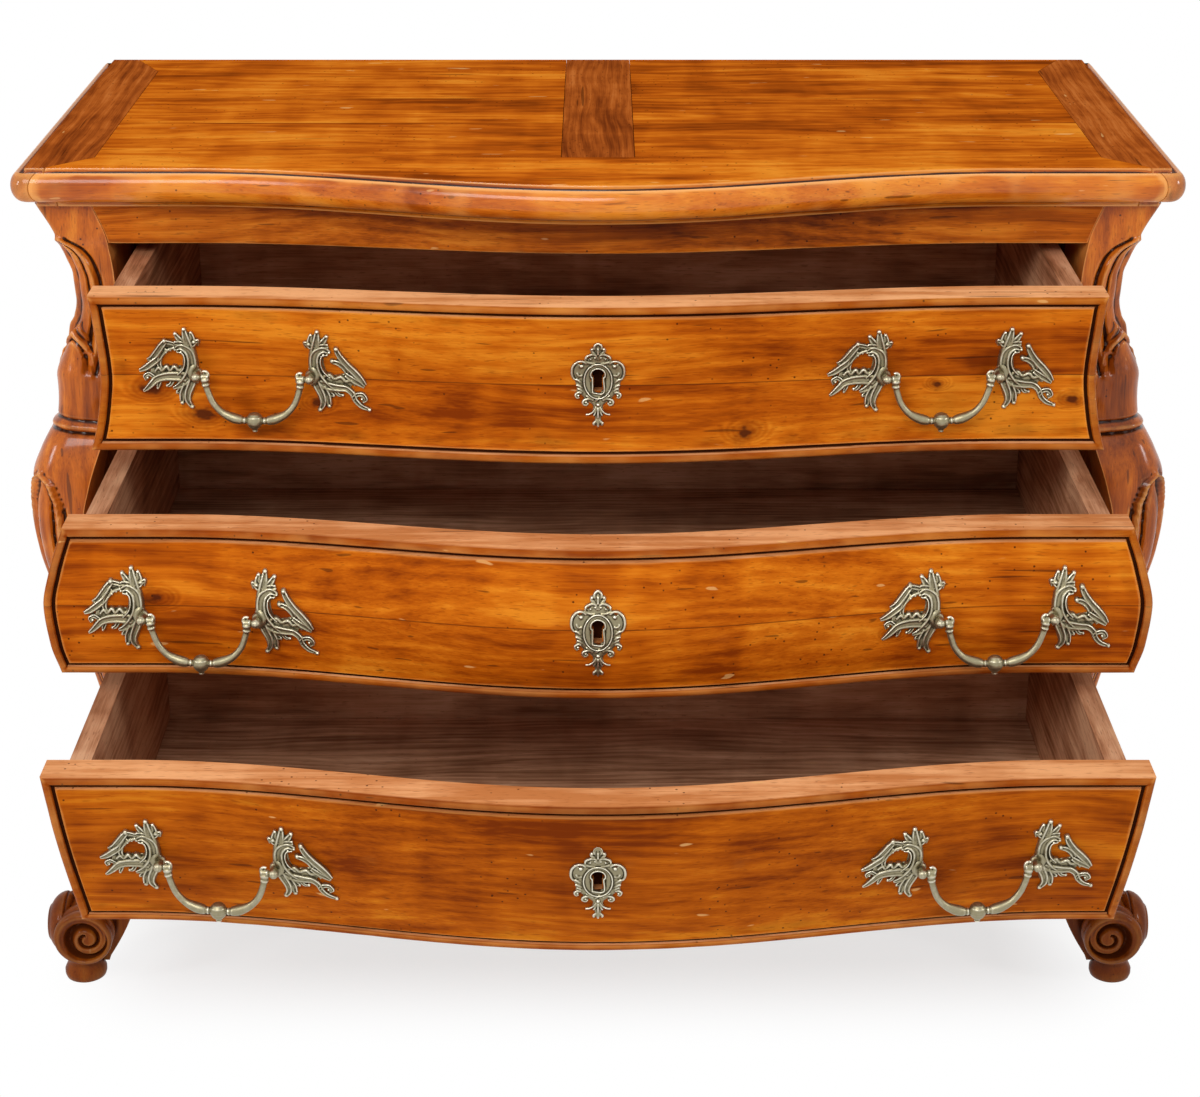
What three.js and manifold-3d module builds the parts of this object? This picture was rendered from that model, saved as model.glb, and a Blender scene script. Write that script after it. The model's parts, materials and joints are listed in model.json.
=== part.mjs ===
// Bombe chest with three drawers, shown part open, in millimetres with +Z up.
// X runs across the chest, and the drawers slide out towards -Y.
import * as THREE from 'three';
import { mergeVertices } from 'three/addons/utils/BufferGeometryUtils.js';
import Module from 'manifold-3d';

const wasm = await Module();
wasm.setup();

// Overall sizes
const slabWidth = 1200;
const slabDepth = 550;
const slabUnderside = 925;
const slabThickness = 43;
const backOverhang = 15;

// Heights of the openings in the front, from the top down
const friezeHeight = 42;
const shadowGap = 11;
const drawerHeights = [168, 157, 185];
const railHeights = [37, 30];
const frontGap = 2;

// Clearances and overruns
const seatGap = 0.3;
const runningGap = 0.3;
const sideClearance = 1;
const overrun = 5;

// Top slab
const slabCornerRadius = 18;
const leastCornerRadius = 2;
const slabSwell = 72;
const endBandWidth = 68;
const backRailWidth = 68;
const frontRailWidth = 47;
const edgeMouldWidth = 26;
const centreBandWidth = 76;
const fieldThickness = 22;
const frontCurveSteps = 20;
const cornerSteps = 3;

// Legs
const frontLegReach = 135;
const rearLegDepth = 57;
const rearLegClearance = 2.6;
const cornerRoundShare = 0.42;
const cornerBulgeShare = 0.5;
const postBandWidth = 56;
const postStepWidth = 9;
const ankleThickness = 52;

// Feet
const padRadius = 24;
const padHeight = 34;
const padInset = 3;
const padSetback = 47;
const frontVoluteRadius = 33.5;
const frontVoluteRise = 65;
const frontVoluteInset = 11;
const frontVoluteSetback = 24;
const frontVoluteLength = 58;
const sideVoluteRadius = 36;
const sideVoluteRise = 64;
const sideVoluteOverhang = 36;
const sideVoluteLength = 62;
const voluteBandWidth = 17;
const voluteEdgeRound = 4;
const voluteBandDip = 3;
const voluteSides = 14;
const spiralGrooveRadius = 3.4;
const spiralGrooveSides = 4;
const spiralSteps = 16;
const spiralTurns = 1.9;
const spiralReachShares = [0.78, 0.16];

// Carcass boards
const sideThickness = 18;
const sideColumns = 8;
const sideRows = 9;
const backThickness = 12;
const backRecess = 2;
const apronThickness = 22;
const apronLedge = 20;
const stopGap = 8;
const railColumns = 14;
const levelGap = 15;
const friezeThickness = 24;
const runnerWidth = 40;
const runnerThickness = 18;
const guideHeight = 24;
const guideThickness = 4;

// Drawers
const boxInsets = [15, 16.5, 4.3];
const frontThickness = 38;
const boxSideThickness = 21;
const boxBackThickness = 16;
const boxBottomThickness = 8;
const boxBottomRise = 9;
const boxBackDrop = 8;
const boxTopDrop = 1.5;
const grooveDepth = 7;
const boxEndClearance = 8;
const bottomColumns = 10;
const bottomFit = 0.3;
const beadWidth = 9.5;
const beadRise = 2.6;
const beadGrooveWidth = 3.5;
const frontColumns = 12;
const rowGap = 10;

// Drawer fittings
const bailSpacing = 114;
const bailDrop = 45;
const bailRadius = 3;
const bailStandoff = 15;
const bailBallRadius = 7.5;
const bailKnuckleRadius = 3.6;
const bailPinRadius = 2;
const bailPinDepth = 4;
const pinClearance = 0.3;
const pinSideGap = 0.5;
const bailSides = 6;
const bailSteps = 14;
const handleInsets = [155.5, 155.89, 154.11];
const handleDrops = [84, 87, 99];
const plateThickness = 3;
const plateWidth = 68;
const plateHeight = 86;
const postRadius = 5;
const studRadius = 2.5;
const studClearance = 0.4;
const rodSides = 6;
const nutRadius = 6;
const nutThickness = 4;
const nutRecess = 3;
const nutClearance = 1;
const studOverhang = 2;
const roundSides = 8;
const escutcheonWidth = 53;
const escutcheonHeight = 93;
const escutcheonDrops = [85, 83, 93];
const keyholeRadius = 6.4;
const keyholeSlotWidth = 9.4;
const keyholeHeight = 25;
const keyholeRise = 4;
const keyholeInset = 0.6;
const keyholeDepth = 12;
const keyholeSteps = 8;

// How far the drawers stand open, as shares of the slab's depth
const openShares = [0.263636, 0.421273, 0.718364];

// Half width of the opening, as shares of the slab's underside height and of its half width
const openingShares = [
  [1, 0.870], [0.955, 0.843], [0.919, 0.835], [0.851, 0.8325], [0.800, 0.842], [0.757, 0.858],
  [0.719, 0.877], [0.670, 0.902], [0.630, 0.915], [0.584, 0.910], [0.544, 0.897], [0.512, 0.887],
  [0.411, 0.873], [0.310, 0.858], [0.216, 0.853], [0.162, 0.865], [0.141, 0.871], [0.108, 0.884],
  [0.089, 0.898], [0.057, 0.927], [0, 0.945],
];

// Outer face of the corner posts, as shares of the same sizes
const postShares = [
  [1, 0.970], [0.965, 0.938], [0.936, 0.922], [0.914, 0.912], [0.885, 0.912], [0.861, 0.920],
  [0.848, 0.931], [0.831, 0.936], [0.790, 0.962], [0.765, 0.963], [0.747, 0.965], [0.737, 0.972],
  [0.707, 0.997], [0.677, 1.014], [0.649, 1.015], [0.611, 1.0125], [0.585, 1.008], [0.551, 0.999],
  [0.496, 0.968], [0.423, 0.933], [0.324, 0.915], [0.259, 0.912], [0.195, 0.927], [0.141, 0.967],
  [0.108, 1.000], [0.086, 1.012], [0, 1.012],
];

// Outer face of the sides between the posts, as shares of the same sizes
const sideShares = [
  [1, 0.957], [0.965, 0.928], [0.919, 0.905], [0.865, 0.900], [0.811, 0.913], [0.757, 0.942],
  [0.714, 0.972], [0.659, 0.995], [0.605, 0.997], [0.551, 0.982], [0.496, 0.955], [0.423, 0.923],
  [0.324, 0.905], [0.259, 0.900], [0.216, 0.902], [0.141, 0.935], [0.108, 0.965], [0, 0.985],
];

// How far the drawer faces stand behind the slab's front corners, as shares of its depth
const setbackShares = [
  [1, 0.069], [0.955, 0.062], [0.943, 0.045], [0.919, 0.051], [0.851, 0.080], [0.800, 0.085],
  [0.761, 0.080], [0.738, 0.058], [0.717, 0.038], [0.670, 0.022], [0.632, 0.018], [0.584, 0.025],
  [0.547, 0.038], [0.510, 0.040], [0.465, 0.051], [0.411, 0.076], [0.357, 0.105], [0.310, 0.135],
  [0.259, 0.156], [0.216, 0.173], [0.120, 0.190],
];

// The same for the front of the ankle below the drawers
const ankleShares = [
  [0.310, 0.135], [0.259, 0.149], [0.216, 0.153], [0.173, 0.138], [0.140, 0.115], [0.108, 0.098],
  [0.086, 0.090], [0, 0.090],
];

// How far the middle of the front swells forward, as shares of the slab's swell
const swellShares = [
  [1, 0.56], [0.955, 0.56], [0.943, 0.49], [0.851, 0.47], [0.800, 0.50], [0.757, 0.57],
  [0.719, 0.74], [0.670, 0.83], [0.630, 0.85], [0.544, 0.83], [0.411, 0.80], [0.310, 0.83],
  [0.216, 0.76],
];

// Where that swell ends to each side, as shares of the slab's half width
const swellReachShares = [[1, 0.70], [0.757, 0.708], [0.630, 0.725], [0.411, 0.783], [0.216, 0.80]];

// Lower edges of the apron and of the sides: place along them, then share of the apron's top height
const apronEdgeShares = [
  [0, 0.665], [0.2, 0.721], [0.4, 0.779], [0.6, 0.753], [0.74, 0.721], [0.86, 0.643],
  [0.94, 0.536], [1, 0.487],
];
const sideEdgeShares = [
  [0, 0.487], [0.12, 0.578], [0.3, 0.721], [0.5, 0.753], [0.7, 0.721], [0.88, 0.578], [1, 0.487],
];

// Edge moulding of the slab: inset as a share of its width, height as a share of the thickness
const edgeShares = [
  [1, 0], [0.90, 0.12], [0.50, 0.20], [0.18, 0.30], [0, 0.56], [0.08, 0.78], [0.26, 0.90],
  [0.44, 0.93], [0.47, 1],
];

// Leaf outline of a handle plate round its bail post, as shares of its width and height
const plateShares = [
  [-0.14, 0.56], [-0.30, 0.49], [-0.27, 0.38], [-0.48, 0.41], [-0.59, 0.33], [-0.80, 0.17],
  [-0.70, 0.16], [-0.98, 0.02], [-0.80, -0.09], [-0.94, -0.22], [-0.79, -0.19], [-0.58, -0.09],
  [-0.30, -0.21], [-0.29, -0.37], [-0.10, -0.40], [-0.17, -0.23], [0.06, -0.07], [0.07, 0.05],
  [-0.02, 0.11], [0, 0.25], [-0.09, 0.44],
];
const plateHoleShares = [[-0.58, 0.15], [-0.39, 0.24], [-0.22, 0.20], [-0.40, 0.08]];

// Half outline of the keyhole plate as shares of its half width and height, from the top down
const escutcheonShares = [
  [0, 0.50], [0.15, 0.48], [0.27, 0.41], [0.25, 0.37], [0.48, 0.32], [0.63, 0.28], [0.86, 0.25],
  [1, 0.17], [0.96, 0.09], [0.86, 0.02], [0.77, -0.06], [0.83, -0.13], [0.58, -0.21], [0.44, -0.26],
  [0.21, -0.30], [0.35, -0.34], [0.15, -0.36], [0.11, -0.43], [0, -0.50],
];

// Path of half a bail as shares of its half spacing and drop
const bailShares = [
  [1, 0], [0.99, -0.16], [0.96, -0.36], [0.86, -0.67], [0.62, -0.91], [0.30, -1.01], [0, -1],
];

// Turned outlines of the foot pad and of the post that carries a bail, as shares of radius and height
const padShares = [[0, 0], [0.82, 0], [0.96, 0.10], [1, 0.28], [0.95, 0.48], [0.90, 0.66], [0.94, 1], [0, 1]];
const postTurnShares = [
  [0, -0.2], [1, -0.2], [1, 0.25], [0.66, 0.45], [1, 0.80], [1, 1.20], [0, 1.42],
];

// Ball with a small finial at the bottom of a bail, as shares of the ball's radius, from the finial up
const ballShares = [[0, -1.6], [0.34, -1.35], [0.30, -1.05], [0.95, -0.4], [0.95, 0.4], [0, 1]];

// Rounded bead and groove round a drawer front: distance from the edge and rise, as shares
const beadShares = [[0, -0.46], [0.28, 0.82], [0.80, 0.72]];
const beadGrooveShares = [[0.30, -0.8], [1, 0]];

// Heights worked out from the named sizes
const halfWidth = slabWidth / 2;
const slabTop = slabUnderside + slabThickness;
const carcassBack = slabDepth - backOverhang;
const friezeBottom = slabUnderside - friezeHeight;
const drawerTops = [];
const drawerBottoms = [];
let level = friezeBottom - shadowGap;
for (const [row, height] of drawerHeights.entries()) {
  drawerTops.push(level);
  level -= height;
  drawerBottoms.push(level);
  level -= frontGap + (railHeights[row] ?? 0) + frontGap;
}
const apronTop = drawerBottoms.at(-1) - frontGap;

// A smooth curve through pairs of place and value that never overshoots them
function through(pairs) {
  const knots = [...pairs].sort((first, second) => first[0] - second[0]);
  const rises = knots.slice(1).map(([place, value], at) => (value - knots[at][1]) / (place - knots[at][0]));
  const slopes = knots.map((knot, at) => {
    if (at === 0 || at === knots.length - 1) return rises[Math.min(at, rises.length - 1)];
    const before = rises[at - 1];
    const after = rises[at];
    return before * after <= 0 ? 0 : (2 * before * after) / (before + after);
  });
  return (place) => {
    const inside = THREE.MathUtils.clamp(place, knots[0][0], knots.at(-1)[0]);
    const next = Math.max(1, knots.findIndex(([at]) => at >= inside));
    const [low, lowValue] = knots[next - 1];
    const [high, highValue] = knots[next];
    const span = high - low;
    const t = (inside - low) / span;
    const blend = t * t * (3 - 2 * t);
    const pull = span * t * (1 - t) * (slopes[next - 1] * (1 - t) - slopes[next] * t);
    return lowValue + (highValue - lowValue) * blend + pull;
  };
}

// The same for a size that follows the height above the floor
function byHeight(pairs, size) {
  const curve = through(pairs);
  return (z) => size * curve(z / slabUnderside);
}

const openingHalf = byHeight(openingShares, halfWidth);
const postOuter = byHeight(postShares, halfWidth);
const sideOuter = byHeight(sideShares, halfWidth);
const setback = byHeight(setbackShares, slabDepth);
const ankleFront = byHeight(ankleShares, slabDepth);
const swell = byHeight(swellShares, slabSwell);
const swellReach = byHeight(swellReachShares, halfWidth);

// The rails and the apron's ledge end behind the inner faces of the closed drawer fronts
const railReach = Math.max(...drawerBottoms.map(setback)) + frontThickness + stopGap;

// The serpentine line: one smooth swell in the middle, straight beyond its reach
function serpentine(x, amount, reach) {
  const share = Math.min(Math.abs(x) / reach, 1);
  return (amount * (1 + Math.cos(Math.PI * share))) / 2;
}

// Place of the bombe front at a point across and up the chest
function face(x, z) {
  return setback(z) - serpentine(x, swell(z), swellReach(z));
}

// Evenly spaced numbers from one value to another
function spread(from, to, steps) {
  return Array.from({ length: steps + 1 }, (unused, at) => from + ((to - from) * at) / steps);
}

// Triangles over an end ring made of a front row of points and a back row that returns beside it
function zipped(ring, split) {
  const triangles = [];
  const last = ring.length - 1;
  const climb = (at) => Math.abs(ring[at][2] - ring[0][2]);
  let front = 0;
  let back = last;
  while (front + 1 < split || back > split) {
    const goesFront = back === split || (front + 1 < split && climb(front + 1) <= climb(back - 1));
    triangles.push(goesFront ? [front, front + 1, back] : [front, back - 1, back]);
    if (goesFront) front += 1;
    else back -= 1;
  }
  return triangles;
}

// The same over a ring that lies in one plane
function flatly(flat) {
  return (ring) => {
    const outline = ring.map(flat);
    const turnsLeft = THREE.ShapeUtils.area(outline) > 0;
    return THREE.ShapeUtils.triangulateShape(outline, [])
      .map((corners) => (turnsLeft ? corners : [...corners].reverse()));
  };
}

// A closed body through rings of points, with its two end rings filled by the given rule
function loft(rings, fill) {
  const count = rings[0].length;
  const index = [];
  for (let ring = 0; ring + 1 < rings.length; ring += 1) {
    for (let at = 0; at < count; at += 1) {
      const next = (at + 1) % count;
      const near = ring * count;
      const far = near + count;
      index.push(near + at, near + next, far + at, near + next, far + next, far + at);
    }
  }
  for (const [ring, isLast] of [[0, false], [rings.length - 1, true]]) {
    for (const corners of fill(rings[ring])) {
      const ordered = isLast ? corners : [...corners].reverse();
      index.push(...ordered.map((corner) => ring * count + corner));
    }
  }
  const geometry = new THREE.BufferGeometry();
  geometry.setAttribute('position', new THREE.Float32BufferAttribute(rings.flat(2), 3));
  geometry.setIndex(index);
  return outward(geometry);
}

function volumeOf(geometry) {
  const [a, b, c] = [new THREE.Vector3(), new THREE.Vector3(), new THREE.Vector3()];
  const places = geometry.attributes.position;
  const index = geometry.index.array;
  let sum = 0;
  for (let at = 0; at < index.length; at += 3) {
    a.fromBufferAttribute(places, index[at]);
    b.fromBufferAttribute(places, index[at + 1]);
    c.fromBufferAttribute(places, index[at + 2]);
    sum += a.dot(b.cross(c));
  }
  return sum / 6;
}

// Turns the triangles round where they face into the body
function outward(geometry) {
  if (volumeOf(geometry) < 0) geometry.setIndex([...geometry.index.array].reverse());
  return geometry;
}

// Positions and triangles alone, with shared corners merged and empty triangles dropped
function welded(geometry) {
  const copy = geometry.clone();
  copy.deleteAttribute('normal');
  copy.deleteAttribute('uv');
  const merged = mergeVertices(copy);
  const kept = [];
  const index = merged.index.array;
  for (let at = 0; at < index.length; at += 3) {
    const [a, b, c] = index.slice(at, at + 3);
    if (a !== b && b !== c && c !== a) kept.push(a, b, c);
  }
  merged.setIndex(kept);
  return outward(merged);
}

// The same body on the other side of the chest
function mirrored(geometry) {
  return outward(welded(geometry).scale(-1, 1, 1));
}

// Solids for cutting and joining, and back to a geometry
function solid(geometry) {
  const merged = welded(geometry);
  const vertProperties = new Float32Array(merged.attributes.position.array);
  const triVerts = new Uint32Array(merged.index.array);
  return new wasm.Manifold(new wasm.Mesh({ numProp: 3, vertProperties, triVerts }));
}

function surface(body) {
  const mesh = body.getMesh();
  const geometry = new THREE.BufferGeometry();
  geometry.setAttribute('position', new THREE.BufferAttribute(new Float32Array(mesh.vertProperties), 3));
  geometry.setIndex([...mesh.triVerts]);
  return geometry;
}

// A box between two corners
function box(low, high) {
  const size = new THREE.Vector3().subVectors(high, low);
  const geometry = new THREE.BoxGeometry(size.x, size.y, size.z);
  return geometry.translate(...new THREE.Vector3().addVectors(low, high).multiplyScalar(0.5));
}

// A flat outline given in plan and raised from one height to another
function slabOf(outline, low, high) {
  const shape = new THREE.Shape(outline.map(([x, y]) => new THREE.Vector2(x, y)));
  const geometry = new THREE.ExtrudeGeometry(shape, { depth: high - low, bevelEnabled: false });
  return geometry.translate(0, 0, low);
}

// A flat outline seen from the front, pushed back from one depth to another
function plateOf(outline, holes, near, far) {
  const shape = new THREE.Shape(outline);
  shape.holes.push(...holes.map((hole) => new THREE.Path(hole)));
  const geometry = new THREE.ExtrudeGeometry(shape, { depth: far - near, bevelEnabled: false });
  return geometry.rotateX(Math.PI / 2).translate(0, far, 0);
}

// A turned body standing on the origin along +Z
function turned(shares, radius, height, sides) {
  const outline = shares.map(([out, up]) => new THREE.Vector2(out * radius, up * height));
  return new THREE.LatheGeometry(outline, sides).rotateX(Math.PI / 2);
}

// A six-sided rod along X or Y between two places on that line
function rodAlongX(radius, from, to) {
  return new THREE.CylinderGeometry(radius, radius, to - from, rodSides)
    .rotateZ(Math.PI / 2)
    .translate((from + to) / 2, 0, 0);
}

function rodAlongY(radius, from, to) {
  return new THREE.CylinderGeometry(radius, radius, to - from, rodSides).translate(0, (from + to) / 2, 0);
}

// Corners of a regular outline round the origin
function ringOf(radius, corners) {
  return spread(0, 2 * Math.PI, corners).slice(1).map((angle) => (
    new THREE.Vector2(radius * Math.cos(angle), radius * Math.sin(angle))
  ));
}

// Materials
function finish(color, roughness, metalness) {
  return new THREE.MeshStandardMaterial({ color, roughness, metalness });
}
const honeyWood = finish(0xb8691c, 0.38, 0);
const bandWood = finish(0x8a4514, 0.4, 0);
const boxWood = finish(0x8b5f3c, 0.75, 0);
const antiqueBrass = finish(0xa59c80, 0.35, 0.9);

const chest = new THREE.Group();
function add(name, geometry, material) {
  const mesh = new THREE.Mesh(welded(geometry), material);
  mesh.name = name;
  chest.add(mesh);
}
const sides = [['left', -1], ['right', 1]];
const inPlan = flatly(([x, y]) => new THREE.Vector2(x, y));
const inSection = flatly(([, y, z]) => new THREE.Vector2(y, z));
const inProfile = flatly(([x, , z]) => new THREE.Vector2(x, z));
const byLevel = (split) => (ring) => zipped(ring, split);

// The slab: its plan outline drawn in by the edge moulding at each height, then cut into boards
function slabRing(inset, z) {
  const ring = [];
  const radius = Math.max(slabCornerRadius - inset, leastCornerRadius);
  const cornerX = halfWidth - inset - radius;
  const cornerY = inset + radius;
  for (const x of spread(-cornerX, cornerX, frontCurveSteps)) {
    ring.push([x, inset - serpentine(x, slabSwell, swellReach(slabUnderside)), z]);
  }
  for (const turn of spread(0, Math.PI / 2, cornerSteps).slice(1)) {
    ring.push([cornerX + radius * Math.sin(turn), cornerY - radius * Math.cos(turn), z]);
  }
  ring.push([halfWidth - inset, slabDepth, z], [inset - halfWidth, slabDepth, z]);
  for (const turn of spread(Math.PI / 2, 0, cornerSteps).slice(0, -1)) {
    ring.push([-cornerX - radius * Math.sin(turn), cornerY - radius * Math.cos(turn), z]);
  }
  return ring;
}

const edgeRings = edgeShares.map(([inset, up]) => (
  slabRing(inset * edgeMouldWidth, slabUnderside + up * slabThickness)
));
const slab = solid(loft(edgeRings, inPlan));

const topInset = edgeShares.at(-1)[0] * edgeMouldWidth;
const fieldSide = halfWidth - topInset - endBandWidth;
const fieldFront = topInset + frontRailWidth;
const fieldBack = slabDepth - backRailWidth;
const halfBand = centreBandWidth / 2;
const mitreEnd = fieldSide + backRailWidth / 2;
const sideTip = halfWidth + overrun;
const mitreFront = fieldFront - (sideTip - fieldSide);
const frontTip = -slabSwell - overrun;
const backTip = slabDepth + overrun;
const slabLow = slabUnderside - overrun;
const lapLevel = slabTop - fieldThickness;

function boardCutter(outline, low) {
  return solid(slabOf(outline, low, slabTop + overrun));
}

const frontRailCutter = boardCutter([
  [-sideTip, frontTip], [sideTip, frontTip], [sideTip, mitreFront - seatGap],
  [fieldSide, fieldFront - seatGap], [-fieldSide, fieldFront - seatGap], [-sideTip, mitreFront - seatGap],
], slabLow);
add('top_front_rail', surface(slab.intersect(frontRailCutter)), honeyWood);

const backRailCutter = boardCutter([
  [-fieldSide, fieldBack], [fieldSide, fieldBack], [mitreEnd - seatGap, slabDepth],
  [mitreEnd - seatGap, backTip], [seatGap - mitreEnd, backTip], [seatGap - mitreEnd, slabDepth],
], slabLow);
const lapCutter = boardCutter([
  [-halfBand, fieldBack - overrun], [halfBand, fieldBack - overrun],
  [halfBand, backTip], [-halfBand, backTip],
], lapLevel - seatGap);
add('top_back_rail', surface(slab.intersect(backRailCutter).subtract(lapCutter)), honeyWood);

const centreBandCutter = boardCutter([
  [seatGap - halfBand, fieldFront], [halfBand - seatGap, fieldFront],
  [halfBand - seatGap, backTip], [seatGap - halfBand, backTip],
], lapLevel);
add('top_centre_band', surface(slab.intersect(centreBandCutter)), bandWood);

for (const [side, sign] of sides) {
  const endBandCutter = boardCutter([
    [sign * (fieldSide + seatGap), fieldFront - seatGap], [sign * sideTip, mitreFront],
    [sign * sideTip, backTip], [sign * (mitreEnd + seatGap), backTip], [sign * (mitreEnd + seatGap), slabDepth],
    [sign * (fieldSide + seatGap), fieldBack],
  ], slabLow);
  add(`top_end_band_${side}`, surface(slab.intersect(endBandCutter)), bandWood);
  const fieldCutter = boardCutter([
    [sign * halfBand, fieldFront], [sign * fieldSide, fieldFront],
    [sign * fieldSide, fieldBack - seatGap], [sign * halfBand, fieldBack - seatGap],
  ], lapLevel);
  add(`top_field_${side}`, surface(slab.intersect(fieldCutter)), honeyWood);
}

// Heights on which neighbouring pieces of the case are drawn, so that their joints follow one line
const caseTop = slabUnderside - seatGap;
const railTops = railHeights.map((height, row) => drawerBottoms[row] - frontGap);
const railBottoms = railHeights.map((height, row) => railTops[row] - height);
const apronEnd = apronEdgeShares.at(-1)[1] * apronTop;
const footTop = padHeight - overrun;
const ledgeBottom = apronTop - apronLedge;
const borders = [
  caseTop, friezeBottom, apronTop, ledgeBottom, apronEnd, footTop,
  ...drawerTops, ...drawerBottoms, ...railTops, ...railBottoms,
];
const levels = [...openingShares, ...postShares]
  .map(([up]) => up * slabUnderside)
  .filter((z) => z > footTop && borders.every((border) => Math.abs(border - z) > levelGap))
  .sort((first, second) => first - second)
  .filter((z, at, all) => at === 0 || z - all[at - 1] > levelGap)
  .concat(borders)
  .sort((first, second) => first - second);
const levelsFrom = (low, high) => levels.filter((z) => z >= low && z <= high);

// Half width of a drawer's box, set in from the narrowest place of its opening
const boxHalf = (row) => (
  Math.min(...levelsFrom(drawerBottoms[row], drawerTops[row]).map(openingHalf)) - boxInsets[row]
);

// The rear legs stand just outside the widest pair of runners
const widestBox = Math.max(...drawerHeights.map((height, row) => boxHalf(row)));
const rearLegInside = widestBox + sideClearance + guideThickness + rearLegClearance;

// Legs: a carved post with a rounded, bulging corner that runs down into a scrolled foot
function frontLegRing(z) {
  const inner = openingHalf(z) + frontGap;
  const outer = postOuter(z);
  const front = z > apronTop ? setback(z) : ankleFront(z);
  const back = z > apronTop ? frontLegReach : Math.min(frontLegReach, front + ankleThickness);
  const panel = Math.min(sideOuter(z), outer);
  const bulge = cornerBulgeShare * (outer - panel);
  const round = cornerRoundShare * (outer - inner);
  const corner = new THREE.Vector2(outer, front - bulge);
  const start = new THREE.Vector2(outer - round, front - bulge * (1 - cornerRoundShare));
  const end = new THREE.Vector2(outer, corner.y + round);
  const bend = new THREE.QuadraticBezierCurve(start, corner, end).getPoints(cornerSteps);
  const band = Math.min(corner.y + postBandWidth, back - postStepWidth);
  return [
    [inner, back, z], [inner, front, z],
    ...bend.map((point) => [point.x, point.y, z]),
    [outer, band - postStepWidth, z], [panel, band, z], [panel, back, z],
  ];
}

function rearLegRing(z) {
  const inner = Math.max(rearLegInside, z > apronTop ? 0 : openingHalf(z) + frontGap);
  const outer = postOuter(z);
  const panel = Math.min(sideOuter(z), outer);
  const front = carcassBack - rearLegDepth;
  return [
    [inner, front, z], [panel, front, z], [panel, front + postStepWidth, z],
    [outer, front + 2 * postStepWidth, z], [outer, carcassBack, z], [inner, carcassBack, z],
  ];
}

// A volute seen end on: a drum along +Y with a dished rim and a spiral groove cut into its face
function volute(radius, length) {
  const rim = [
    [0, 0], [radius - voluteEdgeRound, 0], [radius, voluteEdgeRound],
    [radius, voluteBandWidth - voluteBandDip], [radius - voluteBandDip, voluteBandWidth],
    [radius, voluteBandWidth + voluteBandDip], [radius, length], [0, length],
  ].map(([out, along]) => new THREE.Vector2(out, along));
  const turns = spread(0, 1, spiralSteps).map((share) => {
    const angle = share * spiralTurns * 2 * Math.PI;
    const reach = radius * THREE.MathUtils.lerp(...spiralReachShares, share);
    return new THREE.Vector3(reach * Math.sin(angle), 0, reach * Math.cos(angle));
  });
  const section = new THREE.Shape(ringOf(spiralGrooveRadius, spiralGrooveSides));
  const groove = new THREE.ExtrudeGeometry(section, {
    steps: spiralSteps,
    extrudePath: new THREE.CatmullRomCurve3(turns),
    bevelEnabled: false,
  });
  return solid(new THREE.LatheGeometry(rim, voluteSides)).subtract(solid(groove));
}

function pad(y) {
  return solid(turned(padShares, padRadius, padHeight, voluteSides).translate(halfWidth - padInset, y, 0));
}

function sideVolute(y) {
  const drum = volute(sideVoluteRadius, sideVoluteLength).rotate([0, 0, 90]);
  return drum.translate([halfWidth + sideVoluteOverhang, y, sideVoluteRise]);
}

const rearFootPlace = carcassBack - sideVoluteRadius;
const frontVolute = volute(frontVoluteRadius, frontVoluteLength)
  .translate([halfWidth - frontVoluteInset, frontVoluteSetback, frontVoluteRise]);
const frontLeg = surface(
  solid(loft(levels.map(frontLegRing), inPlan))
    .add(frontVolute)
    .add(sideVolute(padSetback))
    .add(pad(padSetback)),
);
const rearLeg = surface(
  solid(loft(levels.map(rearLegRing), inPlan))
    .add(sideVolute(rearFootPlace))
    .add(pad(rearFootPlace)),
);
add('front_leg_right', frontLeg, honeyWood);
add('front_leg_left', mirrored(frontLeg), honeyWood);
add('rear_leg_right', rearLeg, honeyWood);
add('rear_leg_left', mirrored(rearLeg), honeyWood);

// Sides: bombe boards between the legs, with a shaped lower edge
const sideEdge = through(sideEdgeShares);
const sideRings = spread(0, 1, sideColumns).map((share) => {
  const near = frontLegReach + seatGap;
  const far = carcassBack - rearLegDepth - seatGap;
  const y = THREE.MathUtils.lerp(near, far, share);
  const heights = spread(caseTop, sideEdge(share) * apronTop, sideRows);
  const outside = heights.map((z) => [sideOuter(z), y, z]);
  const inside = heights.map((z) => [sideOuter(z) - sideThickness, y, z]);
  return [...outside, ...inside.reverse()];
});
const sidePanel = loft(sideRings, inProfile);
add('side_panel_right', sidePanel, honeyWood);
add('side_panel_left', mirrored(sidePanel), honeyWood);

const backHalf = rearLegInside - seatGap;
const backFace = carcassBack - backRecess - backThickness;
add('back_panel', box(
  new THREE.Vector3(-backHalf, backFace, sideEdge(1 / 2) * apronTop),
  new THREE.Vector3(backHalf, carcassBack - backRecess, caseTop),
), boxWood);

// Members that run across the front between the legs and follow its swell
const memberHalf = (z) => openingHalf(z) + frontGap - seatGap;
function across(share, z, depth) {
  const x = share * memberHalf(z);
  return [x, face(x, z) + depth, z];
}
function levelWith(share, z, y) {
  return [share * memberHalf(z), y, z];
}
const memberShares = spread(-1, 1, railColumns);

const friezeLevels = levelsFrom(friezeBottom, caseTop);
add('frieze_rail', loft(memberShares.map((share) => [
  ...friezeLevels.map((z) => across(share, z, 0)),
  ...[...friezeLevels].reverse().map((z) => across(share, z, friezeThickness)),
]), byLevel(friezeLevels.length)), honeyWood);

for (const [row, name] of [[0, 'upper'], [1, 'lower']]) {
  const heights = levelsFrom(railBottoms[row], railTops[row]);
  add(`${name}_drawer_rail`, loft(memberShares.map((share) => [
    ...heights.map((z) => across(share, z, 0)),
    ...[...heights].reverse().map((z) => levelWith(share, z, railReach)),
  ]), byLevel(heights.length)), honeyWood);
}

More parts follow.
